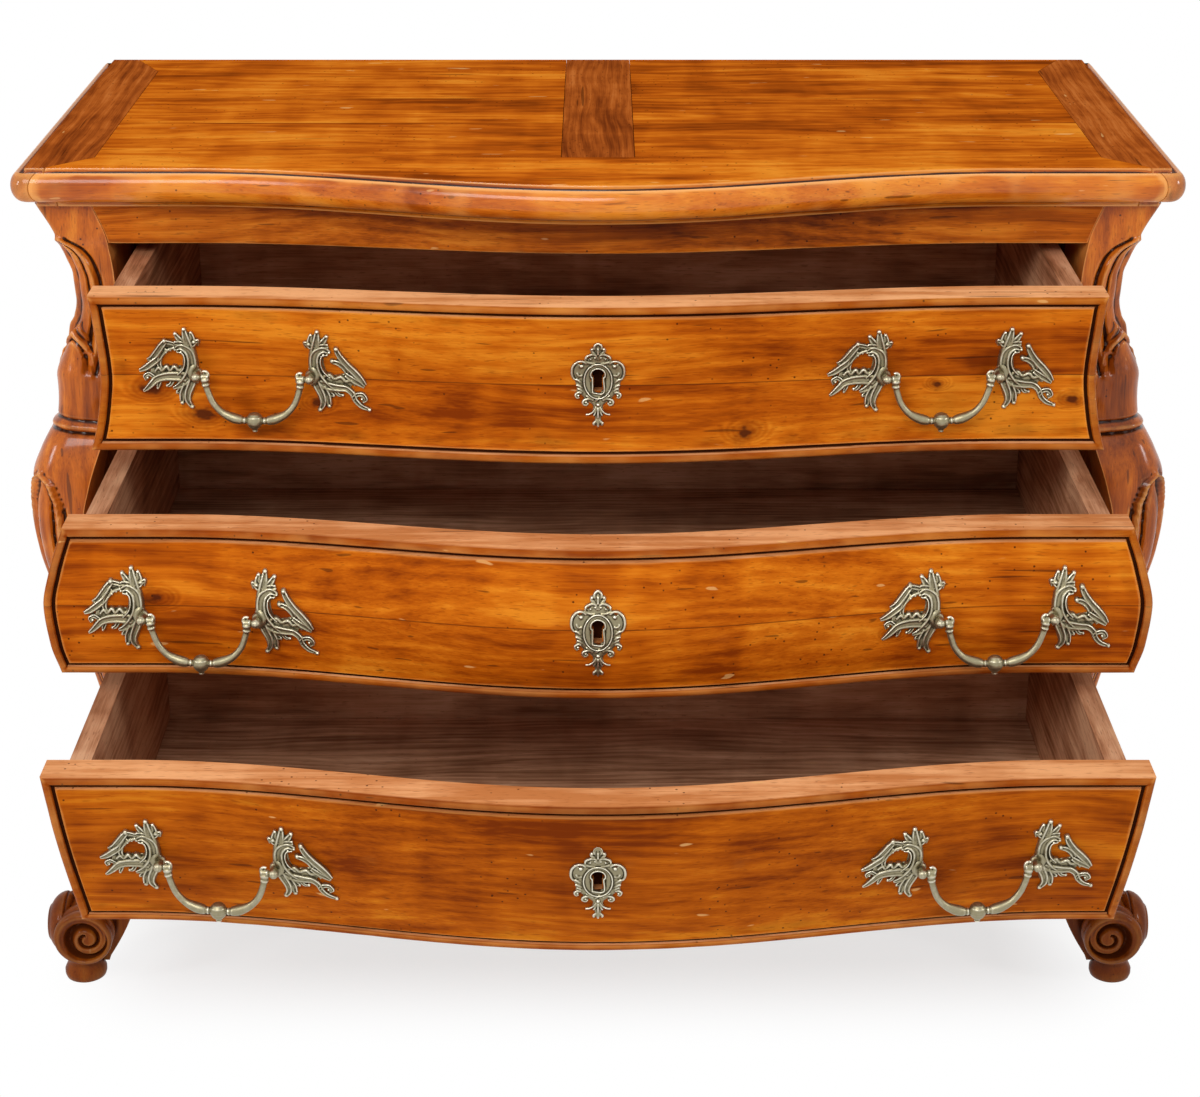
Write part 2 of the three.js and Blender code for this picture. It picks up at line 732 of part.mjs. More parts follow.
// The apron: a shaped board that carries a ledge for the lowest runners along its top
const apronLevels = levelsFrom(apronEnd, apronTop);
const apronEdge = through(apronEdgeShares);
add('apron', loft(memberShares.map((share) => {
  const squeeze = (1 - apronEdge(Math.abs(share))) / (1 - apronEdge(1));
  const heights = apronLevels.map((z) => (z < ledgeBottom ? apronTop - (apronTop - z) * squeeze : z));
  return [
    ...heights.map((z) => across(share, z, 0)),
    ...heights.map((z, at) => (
      apronLevels[at] < ledgeBottom ? across(share, z, apronThickness) : levelWith(share, z, railReach)
    )).reverse(),
  ];
}), byLevel(apronLevels.length)), honeyWood);

// Drawers: a bombe front with a beaded edge on a plain box, pulled out by its opening
const drawerNames = ['upper', 'middle', 'lower'];
const boxEnd = backFace - boxEndClearance;
const beadZone = beadWidth + beadGrooveWidth;
const beadSteps = [
  ...beadShares.map(([out, up]) => [out * beadWidth, up * beadRise]),
  ...beadGrooveShares.map(([out, up]) => [beadWidth + out * beadGrooveWidth, up * beadRise]),
];
const beadDistances = beadSteps.map(([distance]) => distance);
const bead = through(beadSteps);

function innerFace(row, x, z) {
  const share = (z - drawerBottoms[row]) / drawerHeights[row];
  return THREE.MathUtils.lerp(face(x, drawerBottoms[row]), face(x, drawerTops[row]), share) + frontThickness;
}

function frontBlank(row) {
  const top = drawerTops[row];
  const bottom = drawerBottoms[row];
  const middleRows = levelsFrom(bottom + beadZone + rowGap, top - beadZone - rowGap);
  const rows = [
    ...beadDistances.map((distance) => top - distance),
    ...middleRows.reverse(),
    ...beadDistances.map((distance) => bottom + distance).reverse(),
  ];
  const columns = [
    ...beadDistances.map((distance) => (z) => distance - openingHalf(z)),
    ...spread(-1, 1, frontColumns).slice(1, -1).map((share) => (z) => share * (openingHalf(z) - beadZone)),
    ...beadDistances.map((distance) => (z) => openingHalf(z) - distance).reverse(),
  ];
  return loft(columns.map((column) => {
    const front = rows.map((z) => {
      const x = column(z);
      const margin = Math.min(openingHalf(z) - Math.abs(x), top - z, z - bottom);
      return [x, face(x, z) - bead(margin), z];
    });
    const back = levelsFrom(bottom, top).map((z) => [column(z), innerFace(row, column(z), z), z]);
    return [...front, ...back];
  }), byLevel(rows.length));
}

// The bottom board, or with some play the groove that holds it, as seen from the drawer's front
function bottomBoard(row, play) {
  const half = boxHalf(row) - boxSideThickness + grooveDepth - bottomFit + play;
  const low = drawerBottoms[row] + boxBottomRise - play;
  const high = drawerBottoms[row] + boxBottomRise + boxBottomThickness + play;
  return loft(spread(-half, half, bottomColumns).map((x) => {
    const front = innerFace(row, x, (low + high) / 2) - grooveDepth + bottomFit - play;
    return [[x, front, low], [x, boxEnd, low], [x, boxEnd, high], [x, front, high]];
  }), inSection);
}

// A round hole with a slot below it, drawn in by an inset and set above the middle of its plate
function keyhole(inset) {
  const radius = keyholeRadius - inset;
  const half = keyholeSlotWidth / 2 - inset;
  const low = keyholeRise + inset - keyholeHeight / 2;
  const centre = keyholeRise + keyholeHeight / 2 - keyholeRadius;
  const start = Math.asin(half / radius) - Math.PI / 2;
  const arc = spread(start, Math.PI - start, keyholeSteps).map((angle) => (
    new THREE.Vector2(radius * Math.cos(angle), centre + radius * Math.sin(angle))
  ));
  return [new THREE.Vector2(-half, low), new THREE.Vector2(half, low), ...arc];
}

// A thin plate that lies on a drawer front: its outline pressed onto the front's own shape
function draped(outline, holes, x, z, blank) {
  const place = (points) => points.map((point) => new THREE.Vector2(point.x + x, point.y + z));
  const near = -slabDepth;
  const drum = solid(plateOf(place(outline), holes.map(place), near, slabDepth));
  const lifted = blank.translate([0, -seatGap - plateThickness, 0]);
  return drum.intersect(lifted).subtract(blank.translate([0, -seatGap, 0]));
}

const escutcheonHalf = escutcheonShares.map(([out, up]) => (
  new THREE.Vector2((out * escutcheonWidth) / 2, up * escutcheonHeight)
));
const escutcheonOutline = [
  ...escutcheonHalf,
  ...escutcheonHalf.slice(1, -1).reverse().map((point) => new THREE.Vector2(-point.x, point.y)),
];

function plateOutline(shares, sign) {
  return shares.map(([out, up]) => new THREE.Vector2(-sign * out * plateWidth, up * plateHeight));
}

// Where a handle's two posts stand, and the line its bail swings on
const halfBail = bailSpacing / 2;
function handlePlace(row, sign) {
  const z = drawerTops[row] - handleDrops[row];
  const x = sign * (openingHalf(z) - handleInsets[row]);
  const left = face(x - halfBail, z);
  const right = face(x + halfBail, z);
  const turn = Math.atan2(right - left, bailSpacing);
  const centre = new THREE.Vector3(x, (left + right) / 2 - seatGap - bailStandoff, z);
  const along = new THREE.Vector3(Math.cos(turn), Math.sin(turn), 0);
  return { centre, turn, along };
}

// The bail: a drooping rod with a ball at its lowest point and a pin at each end
const knuckleFrom = halfBail - postRadius - pinSideGap - 2 * bailKnuckleRadius;
const knuckleTo = halfBail - postRadius - pinSideGap;
const armPlace = (knuckleFrom + knuckleTo) / 2;
function bailBody() {
  const half = bailShares.map(([out, up]) => new THREE.Vector3(out * armPlace, 0, up * bailDrop));
  const mirroredHalf = half.slice(0, -1).map((point) => new THREE.Vector3(-point.x, 0, point.z));
  const path = [...mirroredHalf, ...half.reverse()];
  const rod = new THREE.ExtrudeGeometry(new THREE.Shape(ringOf(bailRadius, bailSides)), {
    steps: bailSteps,
    extrudePath: new THREE.CatmullRomCurve3(path),
    bevelEnabled: false,
  });
  const ball = turned(ballShares, bailBallRadius, bailBallRadius, roundSides).translate(0, 0, -bailDrop);
  const pinTo = halfBail - postRadius + bailPinDepth;
  return [-1, 1].reduce((body, sign) => (
    body
      .add(solid(rodAlongX(bailKnuckleRadius, sign * knuckleFrom, sign * knuckleTo)))
      .add(solid(rodAlongX(bailPinRadius, sign * armPlace, sign * pinTo)))
  ), solid(rod).add(solid(ball)));
}
const bail = bailBody();

// A post with its stud and nut, and the hole and nut recess it needs in the drawer front
function postParts(row, place, side) {
  const at = place.centre.clone().addScaledVector(place.along, side * halfBail);
  const base = at.y + bailStandoff;
  const nutSeat = innerFace(row, at.x, at.z) - nutRecess;
  const toPlace = (body) => body.translate([at.x, 0, at.z]);
  const mouth = -side * (postRadius + overrun);
  const socketEnd = -side * (postRadius - bailPinDepth - pinClearance);
  const socket = solid(
    rodAlongX(bailPinRadius + pinClearance, mouth, socketEnd).rotateZ(place.turn).translate(at.x, at.y, at.z),
  );
  const turnedPost = turned(postTurnShares, postRadius, bailStandoff, roundSides).rotateX(Math.PI / 2);
  const post = solid(turnedPost.translate(0, base, 0));
  const nutFace = nutSeat + seatGap;
  const stud = solid(rodAlongY(studRadius, base - plateThickness, nutFace + nutThickness + studOverhang));
  const nut = solid(rodAlongY(nutRadius, nutFace, nutFace + nutThickness));
  const hole = solid(rodAlongY(studRadius + studClearance, base - frontThickness, nutSeat + overrun));
  const recess = solid(rodAlongY(nutRadius + nutClearance, nutSeat, nutSeat + frontThickness));
  return {
    at,
    post: toPlace(post).subtract(socket),
    stud: toPlace(stud.add(nut)),
    bore: toPlace(hole.add(recess)),
  };
}

for (const [row, name] of drawerNames.entries()) {
  const pulledOut = (geometry) => geometry.translate(0, -openShares[row] * slabDepth, 0);
  const half = boxHalf(row);
  const top = drawerTops[row];
  const bottom = drawerBottoms[row];
  const groove = solid(bottomBoard(row, bottomFit));
  const blank = solid(frontBlank(row));
  const lockHeight = top - escutcheonDrops[row];
  const lockRecess = keyhole(keyholeInset).map((point) => new THREE.Vector2(point.x, point.y + lockHeight));
  let front = blank
    .subtract(groove)
    .subtract(solid(plateOf(lockRecess, [], -slabDepth, face(0, lockHeight) + keyholeDepth)));

  for (const [side, sign] of sides) {
    const place = handlePlace(row, sign);
    const handle = `${name}_${side}_handle`;
    for (const [end, toward] of sides) {
      const parts = postParts(row, place, toward);
      const leaf = draped(
        plateOutline(plateShares, toward),
        [plateOutline(plateHoleShares, toward)],
        parts.at.x,
        parts.at.z,
        blank,
      );
      const plate = leaf.add(parts.post).subtract(blank.translate([0, -seatGap, 0])).add(parts.stud);
      front = front.subtract(parts.bore);
      add(`${handle}_plate_${end}`, pulledOut(surface(plate)), antiqueBrass);
    }
    const swung = bail.rotate([0, 0, THREE.MathUtils.radToDeg(place.turn)]).translate(place.centre.toArray());
    add(`${handle}_bail`, pulledOut(surface(swung)), antiqueBrass);
  }
  add(`${name}_escutcheon`, pulledOut(surface(
    draped(escutcheonOutline, [keyhole(0)], 0, lockHeight, blank),
  )), antiqueBrass);
  add(`${name}_drawer_front`, pulledOut(surface(front)), honeyWood);

  const sideTop = top - boxTopDrop;
  const sideBottom = bottom - frontGap + runningGap;
  const sideBoard = loft([half - boxSideThickness, half].map((x) => [
    [x, innerFace(row, half, sideBottom) + seatGap, sideBottom],
    [x, boxEnd, sideBottom],
    [x, boxEnd, sideTop],
    [x, innerFace(row, half, sideTop) + seatGap, sideTop],
  ]), inSection);
  const groovedSide = surface(solid(sideBoard).subtract(groove));
  add(`${name}_drawer_side_right`, pulledOut(groovedSide.clone()), boxWood);
  add(`${name}_drawer_side_left`, pulledOut(mirrored(groovedSide)), boxWood);

  const inside = half - boxSideThickness - seatGap;
  const floorTop = bottom + boxBottomRise + boxBottomThickness;
  add(`${name}_drawer_bottom`, pulledOut(bottomBoard(row, 0)), boxWood);
  add(`${name}_drawer_back`, pulledOut(box(
    new THREE.Vector3(-inside, boxEnd - boxBackThickness, floorTop + seatGap),
    new THREE.Vector3(inside, boxEnd, top - boxBackDrop),
  )), boxWood);

  // Runners: an L under each side of the box, level with the rail, with a guide beside it
  const guideInside = half + sideClearance;
  const guideOutside = guideInside + guideThickness;
  const runnerTop = sideBottom - runningGap;
  const runnerOutline = [
    [guideOutside - runnerWidth, runnerTop - runnerThickness], [guideOutside, runnerTop - runnerThickness],
    [guideOutside, runnerTop + guideHeight], [guideInside, runnerTop + guideHeight],
    [guideInside, runnerTop], [guideOutside - runnerWidth, runnerTop],
  ].map(([x, z]) => new THREE.Vector2(x, z));
  const runner = plateOf(runnerOutline, [], railReach + seatGap, backFace - seatGap);
  add(`${name}_runner_right`, runner, boxWood);
  add(`${name}_runner_left`, mirrored(runner), boxWood);
}

// The origin lies under the middle of the whole chest with its drawers as shown
const middle = new THREE.Box3().setFromObject(chest).getCenter(new THREE.Vector3());
for (const mesh of chest.children) {
  mesh.geometry.translate(0, -middle.y, 0);
}

export default chest;
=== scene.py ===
# %% [markdown]
# # A bombe chest in honey-coloured wood
# A bombe chest bulges in two directions: its front swells forward in plan, and its profile rolls in and
# out from top to floor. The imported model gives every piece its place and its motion. This lesson keeps
# its plain boards, and carves the shaped pieces again at a finer scale, as a carver works over a sawn
# blank.

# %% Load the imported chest
import json
import math
import bmesh
import bpy
import numpy as np
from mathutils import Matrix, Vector, noise


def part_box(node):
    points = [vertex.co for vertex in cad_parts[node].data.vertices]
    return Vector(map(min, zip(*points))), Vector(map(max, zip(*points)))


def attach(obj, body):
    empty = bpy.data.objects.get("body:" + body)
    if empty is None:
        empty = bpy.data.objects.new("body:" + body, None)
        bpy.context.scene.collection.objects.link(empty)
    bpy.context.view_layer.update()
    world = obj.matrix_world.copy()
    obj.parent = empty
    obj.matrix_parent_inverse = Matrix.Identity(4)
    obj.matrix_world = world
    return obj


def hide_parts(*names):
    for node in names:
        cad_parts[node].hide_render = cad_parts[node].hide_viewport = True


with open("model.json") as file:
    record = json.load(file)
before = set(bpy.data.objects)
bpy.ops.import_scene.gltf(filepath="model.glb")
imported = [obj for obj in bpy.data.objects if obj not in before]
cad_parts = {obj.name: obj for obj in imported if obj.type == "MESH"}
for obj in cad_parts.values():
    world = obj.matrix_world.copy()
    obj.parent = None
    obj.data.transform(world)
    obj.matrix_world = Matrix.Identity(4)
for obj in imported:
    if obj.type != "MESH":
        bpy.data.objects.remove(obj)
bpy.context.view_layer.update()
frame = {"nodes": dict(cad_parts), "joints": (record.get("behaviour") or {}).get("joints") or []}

# %% [markdown]
# ## The driving sizes
# The frame gives the overall sizes: the half width of the top, the height of its underside and the plane
# of its front corners. The shapes that follow are shares of these three, so they keep their proportions.

# %% Sizes from the frame
half_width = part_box("top_end_band_right")[1].x
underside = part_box("top_front_rail")[0].z
slab_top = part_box("top_front_rail")[1].z
slab_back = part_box("top_back_rail")[1].y
slab_depth = 0.55
slab_swell = 0.072
front_plane = slab_back - slab_depth
case_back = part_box("rear_leg_right")[1].y
case_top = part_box("front_leg_right")[1].z
rows = ("upper", "middle", "lower")
pulled = {"upper": 0.145, "middle": 0.2317, "lower": 0.3951}
sides = (("left", -1), ("right", 1))
print("half width, underside, front plane:", [round(v, 4) for v in (half_width, underside, front_plane)])

# %% [markdown]
# ## One surface for the whole front
# Frieze, drawers, rails and apron share one bombe surface. It is given by a few curves over the height:
# how wide the opening is, how far the face stands back, and how much its middle swells. A monotone cubic
# passes through listed shares of height and size, and never overshoots them.

# %% Curves over the height
def through(pairs):
    place, value = np.array(sorted(pairs)).T
    rises = np.diff(value) / np.diff(place)
    slopes = np.concatenate([rises[:1], np.zeros(len(place) - 2), rises[-1:]])
    same_way = rises[:-1] * rises[1:] > 0
    before, after = rises[:-1][same_way], rises[1:][same_way]
    slopes[1:-1][same_way] = 2 * before * after / (before + after)

    def curve(at):
        at = np.clip(at, place[0], place[-1])
        high = np.clip(np.searchsorted(place, at), 1, len(place) - 1)
        low = high - 1
        span = place[high] - place[low]
        t = (at - place[low]) / span
        pull = span * t * (1 - t) * (slopes[low] * (1 - t) - slopes[high] * t)
        return value[low] + (value[high] - value[low]) * t * t * (3 - 2 * t) + pull

    return curve


def by_height(size, pairs):
    curve = through(pairs)
    return lambda z: size * curve(z / underside)


opening_half = by_height(half_width, [
    (1, 0.870), (0.955, 0.843), (0.919, 0.835), (0.851, 0.8325), (0.800, 0.842), (0.757, 0.858),
    (0.719, 0.877), (0.670, 0.902), (0.630, 0.915), (0.584, 0.910), (0.544, 0.897), (0.512, 0.887),
    (0.411, 0.873), (0.310, 0.858), (0.216, 0.853), (0.162, 0.865), (0.141, 0.871), (0.108, 0.884),
    (0.089, 0.893), (0.068, 0.906), (0.0475, 0.922), (0.033, 0.935), (0.0227, 0.944), (0, 0.952)])
post_outer = by_height(half_width, [
    (1, 0.970), (0.965, 0.938), (0.936, 0.922), (0.914, 0.912), (0.885, 0.912), (0.861, 0.920),
    (0.848, 0.931), (0.831, 0.936), (0.790, 0.962), (0.765, 0.963), (0.747, 0.965), (0.737, 0.972),
    (0.707, 0.997), (0.677, 1.014), (0.649, 1.015), (0.611, 1.0125), (0.585, 1.008), (0.551, 0.999),
    (0.496, 0.968), (0.423, 0.933), (0.324, 0.915), (0.259, 0.912), (0.195, 0.927), (0.141, 0.967),
    (0.108, 1.000), (0.086, 1.012), (0, 1.012)])
side_outer = by_height(half_width, [
    (1, 0.957), (0.965, 0.928), (0.919, 0.905), (0.865, 0.900), (0.811, 0.913), (0.757, 0.942),
    (0.714, 0.972), (0.659, 0.995), (0.605, 0.997), (0.551, 0.982), (0.496, 0.955), (0.423, 0.923),
    (0.324, 0.905), (0.259, 0.900), (0.216, 0.902), (0.141, 0.935), (0.108, 0.965), (0, 0.985)])
setback = by_height(slab_depth, [
    (1, 0.069), (0.955, 0.062), (0.943, 0.045), (0.919, 0.051), (0.851, 0.080), (0.800, 0.085),
    (0.761, 0.080), (0.738, 0.058), (0.717, 0.038), (0.670, 0.022), (0.632, 0.018), (0.584, 0.025),
    (0.547, 0.038), (0.510, 0.040), (0.465, 0.051), (0.411, 0.076), (0.357, 0.105), (0.310, 0.135),
    (0.259, 0.156), (0.216, 0.173), (0.120, 0.190)])
ankle_front = by_height(slab_depth, [
    (0.310, 0.135), (0.259, 0.149), (0.216, 0.153), (0.173, 0.138), (0.140, 0.115), (0.108, 0.098),
    (0.086, 0.090), (0, 0.090)])
swell = by_height(slab_swell, [
    (1, 0.56), (0.955, 0.56), (0.943, 0.49), (0.851, 0.47), (0.800, 0.50), (0.757, 0.57),
    (0.719, 0.74), (0.670, 0.83), (0.630, 0.85), (0.544, 0.83), (0.411, 0.80), (0.310, 0.83),
    (0.216, 0.76)])
post_front = by_height(slab_depth, [
    (1, 0.069), (0.965, 0.060), (0.943, 0.052), (0.919, 0.051), (0.851, 0.080), (0.828, 0.083),
    (0.812, 0.080), (0.795, 0.072), (0.775, 0.066), (0.755, 0.062), (0.738, 0.058), (0.717, 0.042),
    (0.695, 0.030), (0.670, 0.022), (0.632, 0.018), (0.584, 0.025),
    (0.547, 0.038), (0.510, 0.040), (0.465, 0.051), (0.411, 0.076), (0.357, 0.105), (0.310, 0.135)])
swell_reach = by_height(half_width, [(1, 0.70), (0.757, 0.708), (0.630, 0.725), (0.411, 0.783), (0.216, 0.80)])


def soft(value, low, high):
    t = np.clip((value - low) / (high - low), 0, 1)
    return t * t * (3 - 2 * t)


def serpentine(x, amount, reach):
    return amount * (1 + np.cos(np.pi * np.minimum(np.abs(x) / reach, 1))) / 2


def face(x, z):
    return front_plane + setback(z) - serpentine(x, swell(z), swell_reach(z))


def bump_at(distance, width):
    return np.exp(-((distance / width) ** 2))


def unit(steps):
    return steps / np.maximum(np.linalg.norm(steps, axis=1), 1e-9)[:, None]


def path_side(spots):
    along = unit(np.gradient(spots, axis=0))
    return np.stack([-along[:, 1], along[:, 0]], -1)


row_feet = [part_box(row + "_drawer_front")[0].z for row in rows]
print("front at the foot of each row:", [round(float(face(0, z)), 3) for z in row_feet])

# %% [markdown]
# ## From grids to meshes
# Most pieces here are two sheets of points, a front and a back, closed round the rim; legs and mouldings
# are rings of points, closed at the ends. Building them as grids keeps the faces even, which is what
# smooth shading and small carved relief both need.

# %% Mesh helpers
def read(data, name, size=3, kind=float):
    values = np.empty(len(data) * size, kind)
    data.foreach_get(name, values)
    return values.reshape(-1, size)


def link(name, data):
    made = bpy.data.objects.new(name, data)
    bpy.context.scene.collection.objects.link(made)
    return made


def new_piece(name, points, faces, weld=True):
    mesh = bpy.data.meshes.new(name)
    mesh.from_pydata([tuple(p) for p in points], [], faces)
    shape = bmesh.new()
    shape.from_mesh(mesh)
    if weld:
        bmesh.ops.remove_doubles(shape, verts=shape.verts, dist=1e-6)
    bmesh.ops.recalc_face_normals(shape, faces=shape.faces)
    if shape.calc_volume(signed=True) < 0:
        bmesh.ops.reverse_faces(shape, faces=shape.faces)
    shape.to_mesh(mesh)
    shape.free()
    return link(name, mesh)


def merged(parts):
    points, faces, start = [], [], 0
    for spots, found in parts:
        points.append(spots)
        faces += [tuple(v + start for v in f) for f in found]
        start += len(spots)
    return np.concatenate(points), faces


def quads(count, around, start=0, wrap=False):
    found = []
    for i in range(count - 1):
        a, b = start + i * around, start + (i + 1) * around
        for j in range(around if wrap else around - 1):
            k = (j + 1) % around
            found.append((a + j, a + k, b + k, b + j))
    return found


def sheet_body(name, front, back):
    front, back = np.stack(front, -1), np.stack(back, -1)
    count_u, count_v = front.shape[:2]
    size = count_u * count_v
    spot = np.arange(size).reshape(count_u, count_v)
    rim = np.concatenate([spot[:, 0], spot[-1, 1:], spot[-2::-1, -1], spot[0, -2:0:-1]]).tolist()
    faces = quads(count_u, count_v) + quads(count_u, count_v, size)
    faces += [(a, b, b + size, a + size) for a, b in zip(rim, rim[1:] + rim[:1])]
    return new_piece(name, np.concatenate([front.reshape(-1, 3), back.reshape(-1, 3)]), faces)


def shell(rings):
    count, around = len(rings), len(rings[0])
    caps = [tuple(range(around)), tuple(range((count - 1) * around, count * around))]
    return np.concatenate(rings), quads(count, around, wrap=True) + caps


def ring_body(name, rings):
    return new_piece(name, *shell(rings))


def circle(count):
    return np.linspace(0, 2 * np.pi, count + 1)[:-1]


def turned(profile, count, axis):
    """Rings of a turned shape, given by its radius and its place along the axis."""
    rings = []
    for radius, place in profile:
        spots = [radius * np.cos(circle(count)), radius * np.sin(circle(count))]
        spots.insert("xyz".index(axis), np.full(count, place))
        rings.append(np.stack(spots, -1))
    return np.array(rings)


def swung(spots, turn):
    x, y, z = spots.T
    return np.stack([x * math.cos(turn) - y * math.sin(turn), x * math.sin(turn) + y * math.cos(turn), z], -1)


def move_points(piece, change):
    piece.data.vertices.foreach_set("co", change(read(piece.data.vertices, "co")).ravel())
    piece.data.update()


def apply_changes(piece):
    bpy.context.view_layer.update()
    done = bpy.data.meshes.new_from_object(piece.evaluated_get(bpy.context.evaluated_depsgraph_get()))
    piece.modifiers.clear()
    piece.data = done


def cut(piece, tool, operation):
    change = piece.modifiers.new(operation, "BOOLEAN")
    change.operation = operation
    change.solver = "MANIFOLD"
    change.object = tool
    apply_changes(piece)
    bpy.data.objects.remove(tool)
    return piece


# %% [markdown]
# ## Wear and painted light that follow the shape
# The materials darken hollows and pale the ridges by how a surface bends. The darkening is painted shade,
# partly old polish where a cloth can't reach; the pale ridges are partly rubbed wear, partly painted
# highlight. Each point compares itself with its neighbours: they stand in front of it in a groove, and behind
# it on a ridge. The mesh keeps the result as two numbers that the materials read: a sharp one for the
# groove itself, and one that is spread over its surroundings.

# %% Bend of a surface, kept as an attribute
kept_passes = {2: "bend", 9: "nook"}
shortest_step = 1e-5


def keep_values(mesh, name, values):
    mesh.attributes.new(name, "FLOAT", "POINT").data.foreach_set("value", values.astype(np.float32))


def note_bend(mesh, step_wanted):
    place, normal = read(mesh.vertices, "co"), read(mesh.vertices, "normal")
    count = len(place)
    a, b = read(mesh.edges, "vertices", 2, int).T
    step = place[b] - place[a]
    length = np.maximum(np.linalg.norm(step, axis=1), shortest_step)
    scale = np.clip(step_wanted / length, 0.6, 2.8) if step_wanted else 1.0
    bend, weight = np.zeros(count), np.zeros(count)
    for start, way in ((a, 1), (b, -1)):
        lean = way * scale * np.einsum("ij,ij->i", normal[start], step) / length
        bend += np.bincount(start, lean, count)
        weight += np.bincount(start, minlength=count)
    bend /= np.maximum(weight, 1)
    for passes in range(1, max(kept_passes) + 1):
        near = np.bincount(a, bend[b], count) + np.bincount(b, bend[a], count)
        bend = (bend * 2 + near) / (2 + weight)
        if passes in kept_passes:
            keep_values(mesh, kept_passes[passes], bend)


def finish_piece(piece, body, material, replaced, sharp=38, step_wanted=None):
    piece.data.shade_smooth()
    piece.data.set_sharp_from_angle(angle=math.radians(sharp))
    note_bend(piece.data, step_wanted)
    piece.data.materials.clear()
    piece.data.materials.append(material)
    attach(piece, body)
    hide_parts(*replaced)


# %% [markdown]
# ## Shader maths as Python
# Node trees grow quickly, so a small class lets a shader value be used in a Python expression. Adding or
# scaling two values makes the Math node for it.

# %% A shader value and its tree
class Value:
    def __init__(self, tree, socket):
        self.tree = tree
        self.socket = socket

    def maths(self, operation, *others):
        return self.tree.maths(operation, self, *others)

    def __add__(self, other):
        return self.maths("ADD", other)

    def __sub__(self, other):
        return self.maths("SUBTRACT", other)

    def __rsub__(self, other):
        return self.tree.maths("SUBTRACT", other, self)

    def __mul__(self, other):
        return self.maths("MULTIPLY", other)

    def __pow__(self, other):
        return self.maths("POWER", other)

    __radd__ = __add__
    __rmul__ = __mul__

    def between(self, low, high, start=0.0, end=1.0):
        limits = {"Value": self, "From Min": low, "From Max": high, "To Min": start, "To Max": end}
        return self.tree.make("ShaderNodeMapRange", {"interpolation_type": "SMOOTHSTEP"}, limits)


class Tree:
    def __init__(self, owner):
        owner.use_nodes = True
        self.owner = owner
        self.nodes = owner.node_tree.nodes
        self.links = owner.node_tree.links
        self.shader = self.nodes.get("Principled BSDF") or self.nodes["Background"]

    def put(self, socket, value):
        if isinstance(value, Value):
            self.links.new(value.socket, socket)
        else:
            socket.default_value = value

    def several(self, kind, outputs, inputs=(), **settings):
        node = self.nodes.new(kind)
        for key, setting in settings.items():
            setattr(node, key, setting)
        for key, value in inputs.items() if isinstance(inputs, dict) else enumerate(inputs):
            self.put(node.inputs[key], value)
        return [Value(self, node.outputs[key]) for key in outputs]

    def make(self, kind, settings, inputs=(), output=0):
        return self.several(kind, [output], inputs, **settings)[0]

    def maths(self, operation, *values):
        return self.make("ShaderNodeMath", {"operation": operation}, values)

    def mix(self, factor, first, second):
        return self.make("ShaderNodeMix", {"data_type": "RGBA"}, {0: factor, 6: first, 7: second}, 2)

    def stain(self, base, *coats):
        for factor, color in coats:
            base = self.mix(factor, base, color)
        return base

    def ramp(self, factor, places, colors):
        found = self.make("ShaderNodeValToRGB", {}, [factor])
        steps = found.socket.node.color_ramp.elements
        while len(steps) < len(colors):
            steps.new(1.0)
        for step, place, color in zip(steps, places, colors):
            step.position = place
            step.color = color
        return found

    def noise(self, vector, scale, detail, roughness=0.5, distortion=0.0):
        return self.make("ShaderNodeTexNoise", {}, {"Vector": vector, "Scale": scale, "Detail": detail,
                                                    "Roughness": roughness, "Distortion": distortion})

    def place(self):
        return self.make("ShaderNodeTexCoord", {}, output="Object")

    def axes(self):
        return self.several("ShaderNodeSeparateXYZ", range(3), [self.place()])

    def attribute(self, name):
        return self.make("ShaderNodeAttribute", {"attribute_name": name}, output="Fac")

    def bump(self, height, strength, distance):
        return self.make("ShaderNodeBump", {}, {"Strength": strength, "Distance": distance, "Height": height})

    def set(self, **inputs):
        for key, value in inputs.items():
            self.put(self.shader.inputs[key.replace("_", " ")], value)


def srgb(*color):
    return (*(((c / 255 + 0.055) / 1.055) ** 2.4 if c > 10 else c / 3295 for c in color), 1.0)


# %% [markdown]
# ## Waxed wood
# The show wood is a knotty timber under an old amber polish. Its look comes in layers, from large to
# small: clouds of tone, streaks drawn out along the grain, faint rings, short cross waves that catch the
# light, and fibres. On top come a few knots, wormholes in clusters, cracks and pale chips. Hollows and
# their surroundings are darkened with painted shade, partly old polish, and edges are paled, partly
# rubbed wear and partly painted highlight; the bend of the surface gives both. Where boards are glued
# side by side, the pattern jumps at the seam.

# %% The wood material
tone_stops = (0.27, 0.43, 0.57, 0.75)
seam_jump = 2.37
knot_heart, worm_hole, pale_chip = srgb(70, 28, 12), srgb(62, 26, 8), srgb(240, 190, 120)
# Painted shade, partly old polish: the nook colour darkens round hollows, the groove colour in them.
seam_line, nook_shade_and_polish, groove_shade_and_polish = srgb(70, 30, 8), srgb(70, 26, 6), srgb(46, 18, 6)
# The first colour pales ridges and arrises: partly rubbed wear, partly painted highlight.
rubbed_and_highlight_tone, edge_streak, low_dark_tone = srgb(242, 168, 88), srgb(198, 124, 70), srgb(84, 34, 6)


def knot_distance(along, across, ripple, spot):
    at_along, at_across, size = spot
    reach_along = (along - at_along) * (0.6 / size)
    reach_across = (across - at_across) * (1 / size)
    return (reach_along * reach_along + reach_across * reach_across) ** 0.5 + ripple
